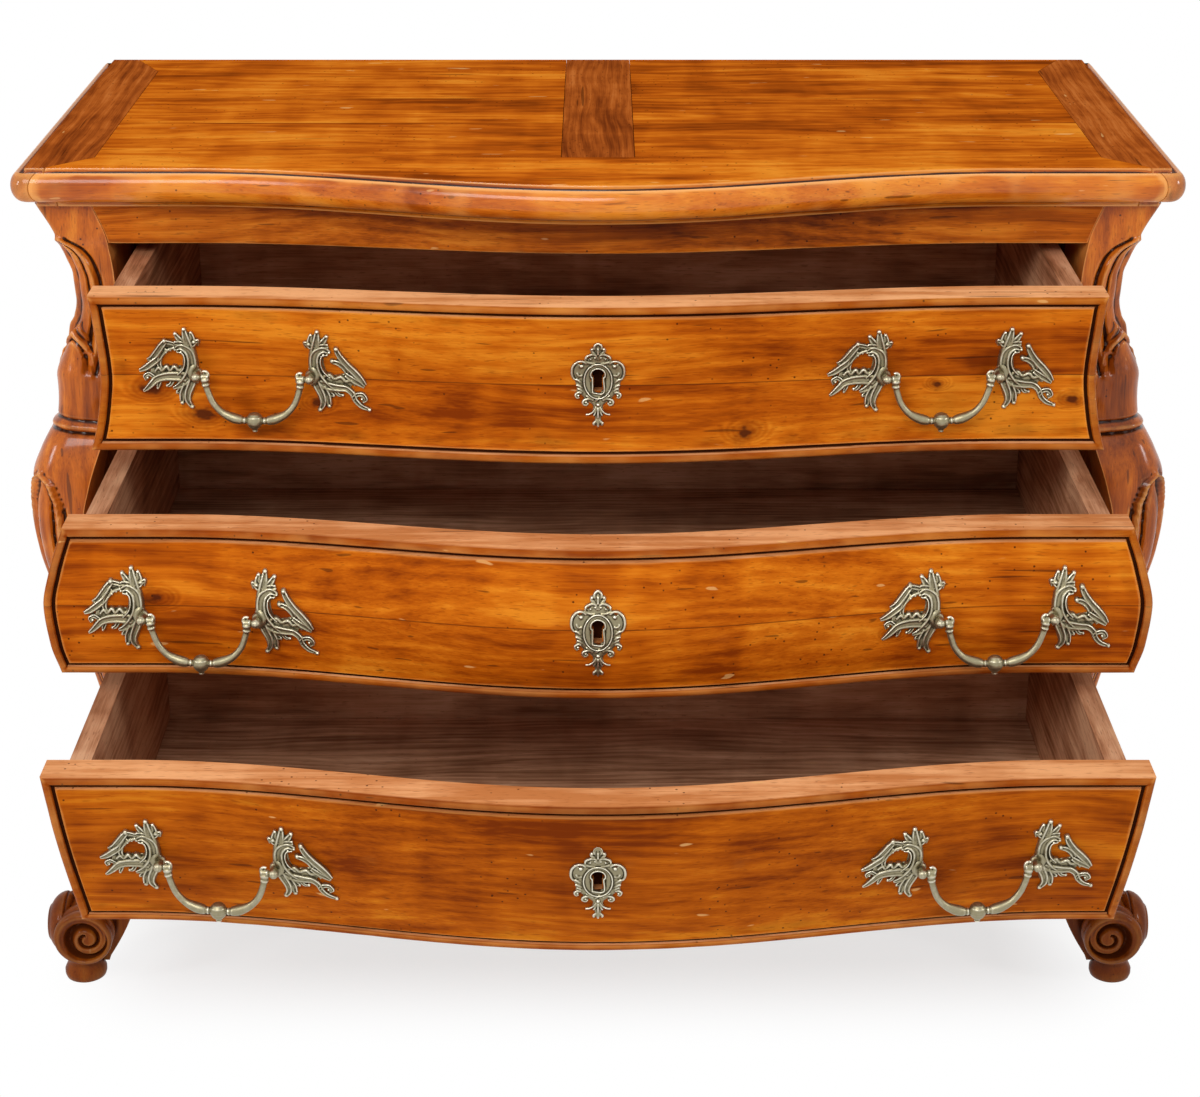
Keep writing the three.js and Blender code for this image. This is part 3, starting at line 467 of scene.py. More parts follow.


# The wear share scales the groove and nook darkening, which is painted shade, and the pale ridges, which are partly
# painted highlight.
def wood(name, grain, tones, seed, ring_size=0.012, ringed=0.12, wear_and_painted_light=1.0, gloss=0.42, specular=0.08, coat=0.0,
         coat_rough=0.14, scarred=1.0, cloudy=0.80, fine=1.0, rub_and_highlight=0.52, seams=(), knots=(), edge_tone=None,
         shine_below=None, darker_below=None, rim_shade_tone=None):
    tree = Tree(bpy.data.materials.new(name))
    axes = tree.axes()
    along, across, deep = (axes["xyz".index(axis)] for axis in grain)
    shift = seed
    for seam in seams:
        shift = across.maths("GREATER_THAN", seam) * seam_jump + shift

    def grid(stretch_along, stretch_across, offset, sideways=0.0):
        spot = [along * stretch_along + (shift + offset), (across + sideways) * stretch_across, deep * stretch_across]
        return tree.make("ShaderNodeCombineXYZ", {}, spot)

    def layer(stretch_along, stretch_across, offset, detail=1, roughness=0.5, distortion=0.0, sideways=0.0):
        return tree.noise(grid(stretch_along, stretch_across, offset, sideways), 1, detail, roughness, distortion)

    drift = layer(1.7, 6, 5.3, 3, 0.55)
    bent = drift * 0.045
    cloud = layer(2.3, 12, 3.7, 3, 0.55)
    streaks = layer(3, 85, 6.3, 4, 0.62, 0, bent)
    fibres = layer(9, 560, 2.1, 2, 0.6, 0, bent)
    waves = layer(19, 5, 8.8, 2, 0.5, 0.4)
    figure = layer(8.5, 46, 2.6, 3, 0.6, 0.5, bent)
    uneven = layer(24, 24, 3.1, 2)
    pull = 0.0
    for spot in knots:
        pull = knot_distance(along, across, uneven * 0.5 - 0.25, spot).between(0, 2.2, 1, 0) + pull
    ring_place = (across + bent) * (1 / ring_size) + drift * 5 + pull * 4
    rings = (ring_place * (2 * math.pi)).maths("SINE") * 0.5 + 0.5
    layers = ((cloud, cloudy), (figure, 0.62), (streaks, 0.48 * fine), (fibres, 0.40 * fine), (waves, 0.34),
              (rings, ringed * fine))
    depth = 0.5 - sum(share for _, share in layers) / 2
    for found, share in layers:
        depth = found * share + depth
    base = tree.ramp(depth, tone_stops, tones)
    ragged = layer(60, 90, 6.9, 2, 0.6) if knots else 0.5
    for spot in knots:
        distance = knot_distance(along, across, (ragged - 0.5) * 2.2, spot)
        base = tree.stain(base, (distance.between(0.3, 1.9, 0.70, 0), tones[3]),
                          (distance.between(0.20, 0.75, 0.85, 0), knot_heart))
    # Painted shade: the beaded border of a front is darkened all round, for the shade on the bead's rounded faces.
    if rim_shade_tone:
        base = tree.mix(tree.attribute("rim") * 0.55, base, rim_shade_tone)
    if edge_tone:
        normal = tree.make("ShaderNodeNewGeometry", {}, output="Normal")
        upward = tree.make("ShaderNodeSeparateXYZ", {}, [normal], 2).between(0.80, 0.97)
        edge = tree.mix((depth * 0.6 + streaks * 0.4).between(0.36, 0.64), edge_tone, edge_streak)
        base = tree.mix(upward * 0.97, base, edge)
        wear_and_painted_light = (1 - upward) * wear_and_painted_light

    ticks = layer(70, 640, 1.7).between(0.60, 0.74)
    near, pick = tree.several("ShaderNodeTexVoronoi", ("Distance", "Color"),
                              {"Vector": grid(1, 1, 1.9), "Scale": 120})
    picked = tree.make("ShaderNodeSeparateColor", {}, [pick]).between(0.52, 0.54)
    worm = near.between(0.09, 0.17, 1, 0) * picked * layer(9, 9, 4.4).between(0.47, 0.58)
    crack = layer(6, 150, 7.7).between(0.72, 0.76)
    chip = layer(28, 110, 1.1).between(0.76, 0.80)
    scars = (worm + crack * 0.7).maths("MINIMUM", 1) * scarred
    base = tree.stain(base, (ticks * 0.45, tones[3]), (scars * 0.85, worm_hole), (chip * 0.5 * scarred, pale_chip))
    for seam in seams:
        line = ((across - seam).maths("ABSOLUTE") + uneven * 0.0006).between(0.0005, 0.0012, 0.65, 0)
        base = tree.mix(line, base, seam_line)

    if shine_below:
        moulded = axes[2].between(shine_below - 0.0012, shine_below, 1, 0)
        wear_and_painted_light = moulded * wear_and_painted_light
        coat = moulded * coat
    bend = tree.attribute("bend")
    # Painted shade in grooves and hollows, partly old polish gathered there.
    hollow = (bend * 7 + (uneven - 0.5) * 0.5).between(0.05, 0.50) * wear_and_painted_light
    # Pale on ridges and arrises: partly rubbed wear, partly painted highlight.
    rubbed_and_highlight = (bend * -6.5 + (uneven - 0.5) * 1.1).between(0.20, 0.90) * wear_and_painted_light
    # Painted shade spread round grooves, like the soft shade near a recess, partly old polish.
    nook = tree.attribute("nook").between(0.004, 0.055) * wear_and_painted_light
    base = tree.stain(base, (nook * 0.55, nook_shade_and_polish), (rubbed_and_highlight * rub_and_highlight, rubbed_and_highlight_tone), (hollow * 0.95, groove_shade_and_polish))
    # Darker towards the bottom of the posts, with less coat there.
    if darker_below:
        low_darkening = axes[2].between(darker_below * 0.55, darker_below, 0.70, 0)
        base = tree.mix(low_darkening, base, low_dark_tone)
        coat = (1 - low_darkening) * coat
    rough = gloss + fibres * 0.12 + hollow * 0.25 - rubbed_and_highlight * 0.06
    tree.set(Base_Color=base, Roughness=rough, Normal=tree.bump(uneven * 0.8 - worm * 1.6, 0.30, 0.0006),
             Specular_IOR_Level=specular, Coat_Roughness=coat_rough, Coat_Weight=coat)
    return tree.owner


def tones(*colors):
    return [srgb(*color) for color in colors]


honey = tones((228, 136, 32), (206, 108, 16), (182, 86, 8), (132, 52, 4))
deep_honey = tones((204, 118, 22), (184, 92, 10), (160, 74, 5), (116, 45, 3))
top_honey = tones((232, 142, 42), (212, 113, 24), (182, 86, 15), (130, 56, 10))
rail_tones = tones((198, 112, 28), (176, 90, 16), (152, 72, 10), (108, 46, 6))
leg_tones = tones((216, 126, 34), (194, 100, 18), (164, 78, 10), (112, 48, 5))
band_tones = tones((196, 110, 48), (176, 90, 32), (152, 73, 24), (116, 51, 16))
box_tones = tones((228, 184, 148), (208, 160, 124), (182, 134, 100), (140, 96, 68))
side_tones = tones((212, 162, 124), (192, 138, 102), (166, 112, 78), (124, 78, 50))
front_finish = {
    "upper": (honey, 2, 1.15, [0.785], [(0.148, 0.733, 0.009), (0.341, 0.776, 0.005), (0.478, 0.758, 0.007),
                                        (-0.449, 0.769, 0.010), (-0.400, 0.742, 0.010), (-0.282, 0.757, 0.007)]),
    "middle": (honey, 11, 0.80, [0.585], [(-0.435, 0.593, 0.008), (0.29, 0.560, 0.005)]),
    "lower": (deep_honey, 23, 0.80, [], [(0.27, 0.37, 0.006)])}
front_wood = {row: wood(f"waxed front {row}", "xzy", colors, seed, specular=0.03, cloudy=cloudy, fine=0.70, rub_and_highlight=0.36,
                        seams=seams, knots=knots, edge_tone=srgb(238, 172, 118), rim_shade_tone=srgb(124, 50, 12))
              for row, (colors, seed, cloudy, seams, knots) in front_finish.items()}
rail_wood = wood("waxed rails", "xzy", leg_tones, 31, specular=0.03, coat=0.1)
leg_wood = wood("carved posts", "zxy", leg_tones, 41, ring_size=0.016, gloss=0.36, specular=0.03, coat=0.6,
                coat_rough=0.17, fine=0.70, darker_below=0.17)
side_wood = wood("bombe sides", "zyx", rail_tones, 47, ring_size=0.018, coat=0.3)
plank_seams = (front_plane + 0.2145, front_plane + 0.3362)
flat_top = slab_top - 0.0003
top_wood = wood("waxed top", "xyz", top_honey, 53, ring_size=0.018, specular=0, coat=0.7, cloudy=0.95, fine=0.55,
                rub_and_highlight=0.8, seams=plank_seams, shine_below=flat_top)
band_wood = wood("cross banding", "yxz", band_tones, 61, ring_size=0.010, ringed=0.10, wear_and_painted_light=0.8, specular=0,
                 coat=0.7, rub_and_highlight=0.7, shine_below=flat_top)
box_wood, run_wood = [wood(name, grain, colors, 71, ring_size=0.010, wear_and_painted_light=0, gloss=0.62, scarred=0.3)
                      for name, grain, colors in (("boards across", "xyz", box_tones),
                                                  ("boards front to back", "yzx", side_tones))]
print("wood finishes:", len(bpy.data.materials))

# %% [markdown]
# ## Aged brass
# The fittings are cast, then worn: grey-green and matt in the hollows, bright and smooth on every raised
# edge, where the pale colour is partly wear and partly painted highlight. The same measure of bend separates the two.

# %% The brass material
def aged_brass():
    tree = Tree(bpy.data.materials.new("aged brass"))
    mottle = tree.noise(tree.place(), 260, 3, 0.6)
    bend = tree.attribute("bend")
    hollow = (bend * 6.5 + (mottle - 0.5) * 0.5).between(0.04, 0.66)
    # Pale on raised edges: partly worn brass, partly painted highlight.
    bright = (bend * -5 + (mottle - 0.5) * 0.4).between(0.10, 0.85)
    base = tree.mix(bright, srgb(150, 141, 112), srgb(240, 234, 214))
    base = tree.mix(hollow * 0.92, base, srgb(44, 38, 26))
    rough = 0.34 + hollow * 0.30 + mottle * 0.12 - bright * 0.12
    tree.set(Base_Color=base, Roughness=rough, Normal=tree.bump(mottle, 0.25, 0.0004), Metallic=0.92)
    return tree.owner


brass = aged_brass()
print("metal finish:", brass.name)

# %% [markdown]
# ## Plain boards of the boxes and the inside
# The drawer sides, backs and bottoms, the runners and the back board are flat boards. The model already
# has their shape, so they only take a finish.

# %% Dress the plain boards
plain_marks = ("runner", "drawer_side", "drawer_bottom", "drawer_back", "back_panel")
plain = [name for name in frame["nodes"] if any(mark in name for mark in plain_marks)]
for name in plain:
    mesh = frame["nodes"][name].data
    mesh.materials.clear()
    mesh.materials.append(run_wood if "side" in name or "runner" in name else box_wood)
print("plain boards:", len(plain))

# %% [markdown]
# ## Drawer fronts
# Each front is a thick board sawn to the bombe surface, with a rounded bead planted round its edge and a
# fine groove inside the bead. The bead is a height that depends only on the distance to the nearest edge,
# so the corners mitre themselves. Rows and columns crowd together near the edges, where the bead is.

# %% The beaded fronts
bead_width = 0.0095
bead_rise = 0.0026
front_thickness = 0.038
front_rows, front_columns = 24, 112
bead_curve = through([(0, -0.7), (0.10, 0.10), (0.28, 0.80), (0.50, 1), (0.72, 0.80), (0.86, 0.10), (0.95, -1.2),
                      (1.20, -1.3), (1.28, -0.2), (1.34, 0.22), (1.44, 0.22), (1.65, 0)])
bead_steps = np.array([0, 0.05, 0.12, 0.22, 0.34, 0.48, 0.62, 0.72, 0.80, 0.87, 0.93, 1.0, 1.10, 1.18, 1.23, 1.28,
                       1.34, 1.44, 1.65])


def inner_face(row, x, z):
    low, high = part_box(row + "_drawer_front")
    share = (z - low.z) / (high.z - low.z)
    return face(x, low.z) + (face(x, high.z) - face(x, low.z)) * share + front_thickness


def edge_distance(row, x, z):
    low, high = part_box(row + "_drawer_front")
    return np.minimum(np.minimum(opening_half(z) - np.abs(x), z - low.z), high.z - z)


def wobble(x, z, scale, seed):
    flat = [noise.noise(Vector((a * scale, seed, b * scale))) for a, b in zip(np.ravel(x), np.ravel(z))]
    return np.array(flat).reshape(np.shape(x))


def drawer_front(row, seed):
    low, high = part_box(row + "_drawer_front")
    edge = bead_steps * bead_width
    zone = edge[-1]
    inside = np.linspace(low.z + zone, high.z - zone, front_rows)[1:-1]
    heights = np.concatenate([low.z + edge, inside, (high.z - edge)[::-1]])
    shares = np.linspace(-1, 1, front_columns)[1:-1]
    half = opening_half(heights)
    x = np.concatenate([edge[:, None] - half[None], shares[:, None] * (half - zone)[None],
                        (half[None] - edge[:, None])[::-1]])
    z = np.broadcast_to(heights, x.shape)
    margin = edge_distance(row, x, z)
    rise = bead_rise * bead_curve(margin / bead_width)
    worn = wobble(x, z, 38.0, seed) * 0.0004 + wobble(x, z, 9.0, seed + 5) * 0.0005
    near_edge = np.clip(1 - margin / (1.5 * bead_width), 0, 1)
    y = np.maximum(face(x, z) - rise + worn * near_edge - pulled[row], low.y)
    return sheet_body(row + "_front_board", (x, y, z), (x, inner_face(row, x, z) - pulled[row], z))


def keyhole_outline(radius, slot, height):
    half = slot / 2
    start = math.asin(half / radius) - math.pi / 2
    angles = np.linspace(start, math.pi - start, 14)
    centre = height / 2 - radius
    arc = [(radius * math.cos(a), centre + radius * math.sin(a)) for a in angles]
    return [(-half, -height / 2), (half, -height / 2)] + arc


lock_box = {row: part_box(row + "_escutcheon") for row in rows}
lock_height = {row: (low.z + high.z) / 2 for row, (low, high) in lock_box.items()}
keyhole_radius = 0.0064
keyhole_slot = 0.0094
keyhole_height = 0.025
keyhole_depth = 0.012
keyhole_rise = 0.004


def keyhole_tool(row):
    outline = keyhole_outline(keyhole_radius - 0.0006, keyhole_slot - 0.0012, keyhole_height - 0.0012)
    near = face(0, lock_height[row]) - pulled[row]
    return ring_body("keyhole_tool", [[(x, y, z + lock_height[row] + keyhole_rise) for x, z in outline]
                                      for y in (near - front_thickness, near + keyhole_depth)])


# The rim share marks the beaded border, where the front finish paints shade.
def note_rim(board, row):
    x, _, z = read(board.data.vertices, "co").T
    keep_values(board.data, "rim", 1 - soft(edge_distance(row, x, z) / bead_width, 0.90, 1.20))


for row, seed in zip(rows, (3.0, 7.0, 13.0)):
    board = cut(drawer_front(row, seed), keyhole_tool(row), "DIFFERENCE")
    note_rim(board, row)
    finish_piece(board, row + "_drawer", front_wood[row], [row + "_drawer_front"])
    print(row, "front:", len(board.data.polygons), "faces")

# %% [markdown]
# ## Rails, frieze and apron
# These run between the posts on the same bombe surface. Their visible lower and upper edges are eased by
# a millimetre or two, as a worn arris is.

# %% Members across the front
seat_gap = 0.0003
front_gap = 0.002
eased = 0.0016


def eased_sheet(name, z_low, z_high, back_at):
    ease = np.array([0.0, 0.25, 0.6, 1.0])
    inside = np.linspace(z_low + eased, z_high - eased, 12)[1:-1]
    heights = np.concatenate([z_low + eased * ease, inside, (z_high - eased * ease)[::-1]])
    ends = np.array([1, 0.999, 0.997, 0.993, 0.986])
    shares = np.concatenate([-ends, np.linspace(-0.974, 0.974, 96), ends[::-1]])
    half = opening_half(heights) + front_gap - seat_gap
    x = shares[:, None] * half[None]
    z = np.broadcast_to(heights, x.shape)
    margin = np.minimum(z - z_low, z_high - z)
    drop = eased * (1 - np.sqrt(1 - (1 - np.clip(margin / eased, 0, 1)) ** 2))
    y = face(x, z) + drop
    return sheet_body(name, (x, y, z), (x, back_at(x, z), z))


frieze_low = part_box("frieze_rail")[0].z
frieze_thickness = 0.024
frieze = eased_sheet("frieze_board", frieze_low, case_top, lambda x, z: face(x, z) + frieze_thickness)
finish_piece(frieze, "case", rail_wood, ["frieze_rail"])
for row in ("upper", "lower"):
    low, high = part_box(row + "_drawer_rail")
    rail = eased_sheet(row + "_rail_board", low.z, high.z, lambda x, z: np.full(x.shape, high.y))
    finish_piece(rail, "case", rail_wood, [row + "_drawer_rail"])

apron_edge = through([(0, 0.205), (0.2, 0.222), (0.4, 0.240), (0.6, 0.232), (0.74, 0.222), (0.86, 0.198),
                      (0.94, 0.165), (1, 0.150)])
side_edge = through([(0, 0.150), (0.12, 0.178), (0.3, 0.222), (0.5, 0.232), (0.7, 0.222), (0.88, 0.178),
                     (1, 0.150)])
apron_thickness = 0.022
apron_ledge = 0.020


def apron_board():
    low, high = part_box("apron")
    shares = np.linspace(-1, 1, 96)
    edge = apron_edge(np.abs(shares)) * underside
    down = np.concatenate([[0, 0.03, 0.07, 0.12], np.linspace(0.16, 1, 16)])
    z = high.z - down[None] * (high.z - edge)[:, None]
    x = shares[:, None] * (opening_half(z) + front_gap - seat_gap)
    y = face(x, z)
    back = np.where(z > high.z - apron_ledge, high.y, y + apron_thickness)
    return sheet_body("apron_board", (x, y, z), (x, back, z))


finish_piece(apron_board(), "case", rail_wood, ["apron"])
print("frieze from", round(frieze_low, 4), "to", round(case_top, 4))

# %% [markdown]
# ## Bombe sides
# The sides are bent boards between the front and rear legs. They are a sheet drawn over depth and height,
# with a shaped lower edge.

# %% Side boards
side_thickness = 0.018


def side_board(side, sign):
    low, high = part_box("side_panel_" + side)
    shares = np.linspace(0, 1, 44)
    edge = side_edge(shares) * underside
    down = np.linspace(0, 1, 70)
    z = high.z - down[None] * (high.z - edge)[:, None]
    y = np.broadcast_to((low.y + shares * (high.y - low.y))[:, None], z.shape)
    outside, inside = sign * side_outer(z), sign * (side_outer(z) - side_thickness)
    return sheet_body(side + "_side_board", (outside, y, z), (inside, y, z))


for side, sign in sides:
    finish_piece(side_board(side, sign), "case", side_wood, ["side_panel_" + side])
print("side boards:", len(sides))

# %% [markdown]
# ## Carved corner posts
# The posts carry the only deep carving. It is symmetric about the corner, so it is drawn once in two
# measures: the height, and the distance from the corner as a share of the post's width. A long ridge runs
# down from under the top and ends in the point of a leaf; a collar crosses it; a ring marks the knee; and
# below that a bead sweeps round a scooped panel. Each is a soft ridge or groove along a curve.

# %% Relief of the posts
corner_round = 0.42
corner_bulge = 0.5
front_leg_reach = front_plane + 0.135
post_band = 0.056
post_step = 0.009
ankle_thickness = 0.052
rear_width = 0.082
rear_depth = 0.057
rear_chamfer = 0.002
ridge_line = through([(0.799, 0.41), (0.812, 0.42), (0.829, 0.43), (0.847, 0.455), (0.864, 0.43), (0.884, 0.42),
                      (0.905, 0.41), (0.924, 0.375), (0.938, 0.35), (0.949, 0.27), (0.956, 0.12), (0.960, 0.0)])
collar_line = through([(0, 0.8505), (0.06, 0.846), (0.17, 0.840), (0.26, 0.835), (0.36, 0.828), (0.43, 0.820)])
leaf_line = through([(0, 0.8385), (0.08, 0.836), (0.18, 0.830), (0.27, 0.820), (0.35, 0.810), (0.41, 0.799)])
belly_line = through([(0.14, 0.20), (0.22, 0.26), (0.30, 0.30), (0.38, 0.32), (0.45, 0.36), (0.52, 0.41),
                      (0.58, 0.44), (0.611, 0.45), (0.627, 0.45), (0.650, 0.39), (0.662, 0.29), (0.674, 0.20),
                      (0.679, 0.11), (0.683, 0.0)])
ring_height = 0.7405
carve_depth = 0.0042


def carved(distance, *lines):
    """Soft ridges and grooves beside a curve, each given by its height, its place and its width."""
    return sum(height * bump_at(distance - place, width) for height, place, width in lines)


def post_relief(u, up, width):
    beside_ridge, beside_belly = (u - ridge_line(up)) * width, (u - belly_line(up)) * width
    over_collar, over_leaf = (up - collar_line(u)) * underside, (up - leaf_line(u)) * underside
    over_ring = (up - ring_height + 0.006 * u) * underside
    inside = 1 - soft(beside_ridge, -0.006, -0.001)
    scoop = -0.0055 * inside * soft(over_collar, 0.002, 0.010) * (1 - soft(up, 0.940, 0.962))
    ridge = carved(beside_ridge, (0.0030, 0.0015, 0.0030), (-0.0034, 0.0085, 0.0022), (-0.0026, -0.0050, 0.0020))
    ridge = ridge * (soft(up, 0.790, 0.803) * (1 - soft(up, 0.958, 0.966)))
    collar = carved(over_collar, (0.0034, -0.0035, 0.0038), (-0.0034, 0.0030, 0.0020))
    collar = (collar + carved(over_leaf, (-0.0034, 0.0005, 0.0020))) * (1 - soft(u, 0.40, 0.45))
    leaf = 0.0022 * (1 - soft(over_leaf, -0.001, 0.002)) * soft(up, 0.752, 0.808) * inside
    ring = carved(over_ring, (0.0024, 0, 0.0030), (-0.0036, -0.0062, 0.0020), (-0.0024, 0.0062, 0.0020))
    panel = -carve_depth * (1 - soft(beside_belly, -0.008, -0.002))
    panel = panel * (1 - soft(up, 0.668, 0.684)) * soft(up, 0.16, 0.26)
    belly = carved(beside_belly, (0.0030, 0, 0.0034), (-0.0040, -0.0080, 0.0024), (-0.0028, 0.0070, 0.0020))
    belly = belly * (soft(up, 0.13, 0.18) * (1 - soft(up, 0.684, 0.690)))
    return (scoop + ridge + collar + leaf + ring + panel + belly) * np.clip(width / half_width * 12, 0, 1)


def post_ring(z):
    inner = opening_half(z) + front_gap
    outer = post_outer(z)
    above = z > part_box("apron")[1].z
    front = front_plane + (post_front(z) if above else ankle_front(z))
    ankle = ankle_thickness * (0.70 + 0.30 * soft(z, 0.014, 0.050))
    back = front_leg_reach if above else min(front_leg_reach, front + ankle)
    panel = min(side_outer(z), outer)
    up = z / underside
    bulge = corner_bulge * (outer - panel) * soft(up, 0.10, 0.17)
    knees = bump_at(up - 0.782, 0.035) + bump_at(up - 0.67, 0.055)
    rounding = corner_round - 0.28 * soft(up, 0.93, 0.965) + 0.30 * knees
    curve = rounding * (outer - inner)
    corner = np.array([outer, front - bulge])
    start = np.array([outer - curve, front - bulge * (1 - rounding)])
    end = np.array([outer, corner[1] + curve])
    t = np.linspace(0, 1, 22)[:, None]
    bend = (1 - t) ** 2 * start + 2 * t * (1 - t) * corner + t * t * end
    band = min(corner[1] + post_band, back - post_step)
    across = np.linspace([inner, front], start, 26)[:-1]
    down_side = np.linspace(end, [outer, band - post_step], 20)[1:]
    shown = np.concatenate([across, bend, down_side])
    middle = len(across) + len(bend) // 2
    length = np.concatenate([[0], np.cumsum(np.linalg.norm(np.diff(shown, axis=0), axis=1))])
    width = outer - inner
    relief = post_relief(np.abs(length - length[middle]) / width, up, width)
    fade = soft(length, 0, 0.004) * soft(length[-1] - length, 0, 0.006)
    shown = shown - path_side(shown) * (relief * fade)[:, None]
    rest = [[panel, band], [panel, (band + back) / 2], [panel, back], [(panel + inner) / 2, back], [inner, back],
            [inner, (back + front) / 2]]
    ring = np.concatenate([shown, rest])
    return np.column_stack([ring, np.full(len(ring), z)])


def rear_ring(z):
    inner = max(half_width - rear_width, 0 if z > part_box("apron")[1].z else opening_half(z) + front_gap)
    outer = post_outer(z)
    panel = min(side_outer(z), outer)
    front = case_back - rear_depth
    step, middle = front + 2 * post_step, (front + case_back) / 2 + post_step
    ring = [[inner, front], [panel, front], [panel, front + post_step], [outer - rear_chamfer, step - rear_chamfer],
            [outer, step], [outer, middle], [outer, case_back - rear_chamfer],
            [outer - rear_chamfer, case_back], [inner, case_back]]
    return np.column_stack([np.array(ring), np.full(len(ring), z)])


# %% [markdown]
# ## Scrolled feet
# Each foot is a pair of scrolls seen end on, standing on a turned pad. The face of a scroll is a spiral:
# its height follows the radius less a little for every turn, so one rounded ridge winds in to the eye.
# Drums, pad and leg are joined into one solid, as they are one piece of wood.

# %% Feet and legs
straight_rim = [(0.985, 1.2), (1, 4), (1, 9.5), (0.965, 11.5), (0.94, 13.5), (0.965, 15.5), (1, 18), (1, 24),
                (0.96, 26.5)]
domed_rim = [(0.62, 0.6), (0.70, 2.0), (0.79, 4.2), (0.87, 7.0), (0.94, 10.5), (0.985, 14.0), (1, 17.0),
             (0.985, 18.6), (0.955, 19.6), (0.955, 20.6), (0.99, 22.0), (0.96, 24.5), (0.80, 27.0), (0.58, 29.0)]
groove_way = through([(0, 0.17), (0.25, 0.22), (0.5, 0.29), (0.75, 0.42), (1, 0.49), (1.25, 0.55), (1.5, 0.68),
                      (1.62, 0.74), (1.75, 0.80), (2, 0.86)])
groove_half = through([(0, 0.04), (0.25, 0.05), (0.5, 0.055), (0.75, 0.075), (1, 0.10), (1.25, 0.11), (1.5, 0.09),
                       (1.62, 0.07), (1.75, 0.05), (2, 0.04)])
groove_depth = through([(0, 0), (0.08, 0.0050), (0.75, 0.0070), (1, 0.0100), (1.5, 0.0100), (1.62, 0.0070),
                        (1.85, 0), (2, 0)])


def scroll_drum(name, radius, length, sign, rim, face_share=0.955, eye_shift=(0.0, 0.0)):
    around = circle(96)
    reach = np.concatenate([[0.0, 0.04, 0.08], np.linspace(0.115, 0.955, 30)])
    turn = around / (2 * np.pi) if sign > 0 else 1 - around / (2 * np.pi)
    faces = []
    for r in reach:
        cuts = [groove_depth(t) * bump_at(r - groove_way(t), groove_half(t)) for t in (turn, turn + 1)]
        round_ring = 0.0030 * bump_at(r - 0.86, 0.11)
        sunk = 0.0012 + np.maximum(*cuts) - round_ring
        out = r / 0.955 * face_share * radius
        lean = max(0.0, 1 - r) / 1000
        faces.append(np.stack([out * np.sin(around) + eye_shift[0] * lean, sunk,
                               out * np.cos(around) + eye_shift[1] * lean], -1))
    for out, along in rim + [(rim[-1][0], length * 1000)]:
        ring = np.stack([out * radius * np.sin(around), np.full(96, along / 1000), out * radius * np.cos(around)], -1)
        faces.append(ring)
    rings = np.array(faces)
    rings[0] = rings[0].mean(0) + (rings[1] - rings[1].mean(0)) * 0.02
    return ring_body(name, rings)


pad_profile = [(0.84, 0), (0.95, 0.05), (1, 0.16), (1, 0.30), (0.94, 0.40), (0.86, 0.52), (0.80, 0.62), (0.84, 0.74),
               (0.94, 0.90), (0.97, 1)]
pad_radius = 0.024
pad_height = 0.034
pad_x = half_width - 0.003
front_scroll_radius = 0.0335
front_scroll_rise = 0.065
side_scroll_radius = 0.036
side_scroll_rise = 0.064
foot_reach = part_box("front_leg_right")[1].x
front_foot_y = front_plane + 0.047
front_scroll_at = (half_width - 0.0085, front_plane + 0.013)
side_scroll_plane = foot_reach - 0.0021
rear_foot_y = case_back - side_scroll_radius
side_scroll_y = {"front": front_foot_y + 0.010, "rear": rear_foot_y}
foot_top = pad_height - 0.005
front_foot_top = pad_height / 2
ankle_end = 0.45


def placed(piece, turn, offset):
    move_points(piece, lambda spots: swung(spots, turn) + np.array(offset))
    return piece


def mirror(piece):
    piece.data.flip_normals()
    move_points(piece, lambda spots: spots * (-1, 1, 1))
    return piece


def leg(end, side, sign):
    if end == "front":
        foot_heights = np.linspace(front_foot_top, ankle_end, 155)
        heights = np.concatenate([foot_heights, np.linspace(ankle_end, case_top, 330)[1:]])
        body = ring_body(f"{end}_{side}_leg", [post_ring(float(z)) for z in heights])
        front_scroll = scroll_drum("front_scroll", front_scroll_radius, 0.069, 1, straight_rim, 0.955, (-5.4, -1.8))
        placed(front_scroll, 0, (*front_scroll_at, front_scroll_rise))
        cut(body, front_scroll, "UNION")
    else:
        heights = np.linspace(foot_top, case_top, 150)
        body = ring_body(f"{end}_{side}_leg", [rear_ring(float(z)) for z in heights])
    foot_y = front_foot_y if end == "front" else rear_foot_y
    side_scroll = scroll_drum("side_scroll", side_scroll_radius, 0.066, -1, domed_rim, 0.60)
    placed(side_scroll, math.pi / 2, (side_scroll_plane, side_scroll_y[end], side_scroll_rise))
    cut(body, side_scroll, "UNION")
    pad = turned([(out * pad_radius, up * pad_height) for out, up in pad_profile], 48, "z")
    cut(body, ring_body("pad", pad + (pad_x, foot_y, 0)), "UNION")
    return body if sign > 0 else mirror(body)


def sunk_share(depth, away, edge):
    return soft(depth, 0.0006, 0.0040) * (1 - soft(away, edge - 0.07, edge)) * (depth < 0.0135)


def darken_scrolls(piece, end):
    """Paints shade into the sunk part of a scroll: its points count as a groove, so they take the dark groove colour.
    """
    x, y, z = read(piece.data.vertices, "co").T
    x = np.abs(x)
    away = np.hypot(y - side_scroll_y[end], z - side_scroll_rise) / side_scroll_radius
    sunk = sunk_share(side_scroll_plane - x, away, 0.58)
    if end == "front":
        away = np.hypot(x - front_scroll_at[0], z - front_scroll_rise) / front_scroll_radius
        sunk = np.maximum(sunk, sunk_share(y - front_scroll_at[1], away, 0.93))
    # Painted shade in the sunk parts of the scroll.
    layer = piece.data.attributes["bend"].data
    bend = read(layer, "value", 1, np.float32)[:, 0]
    layer.foreach_set("value", (bend + 0.075 * sunk).astype(np.float32))


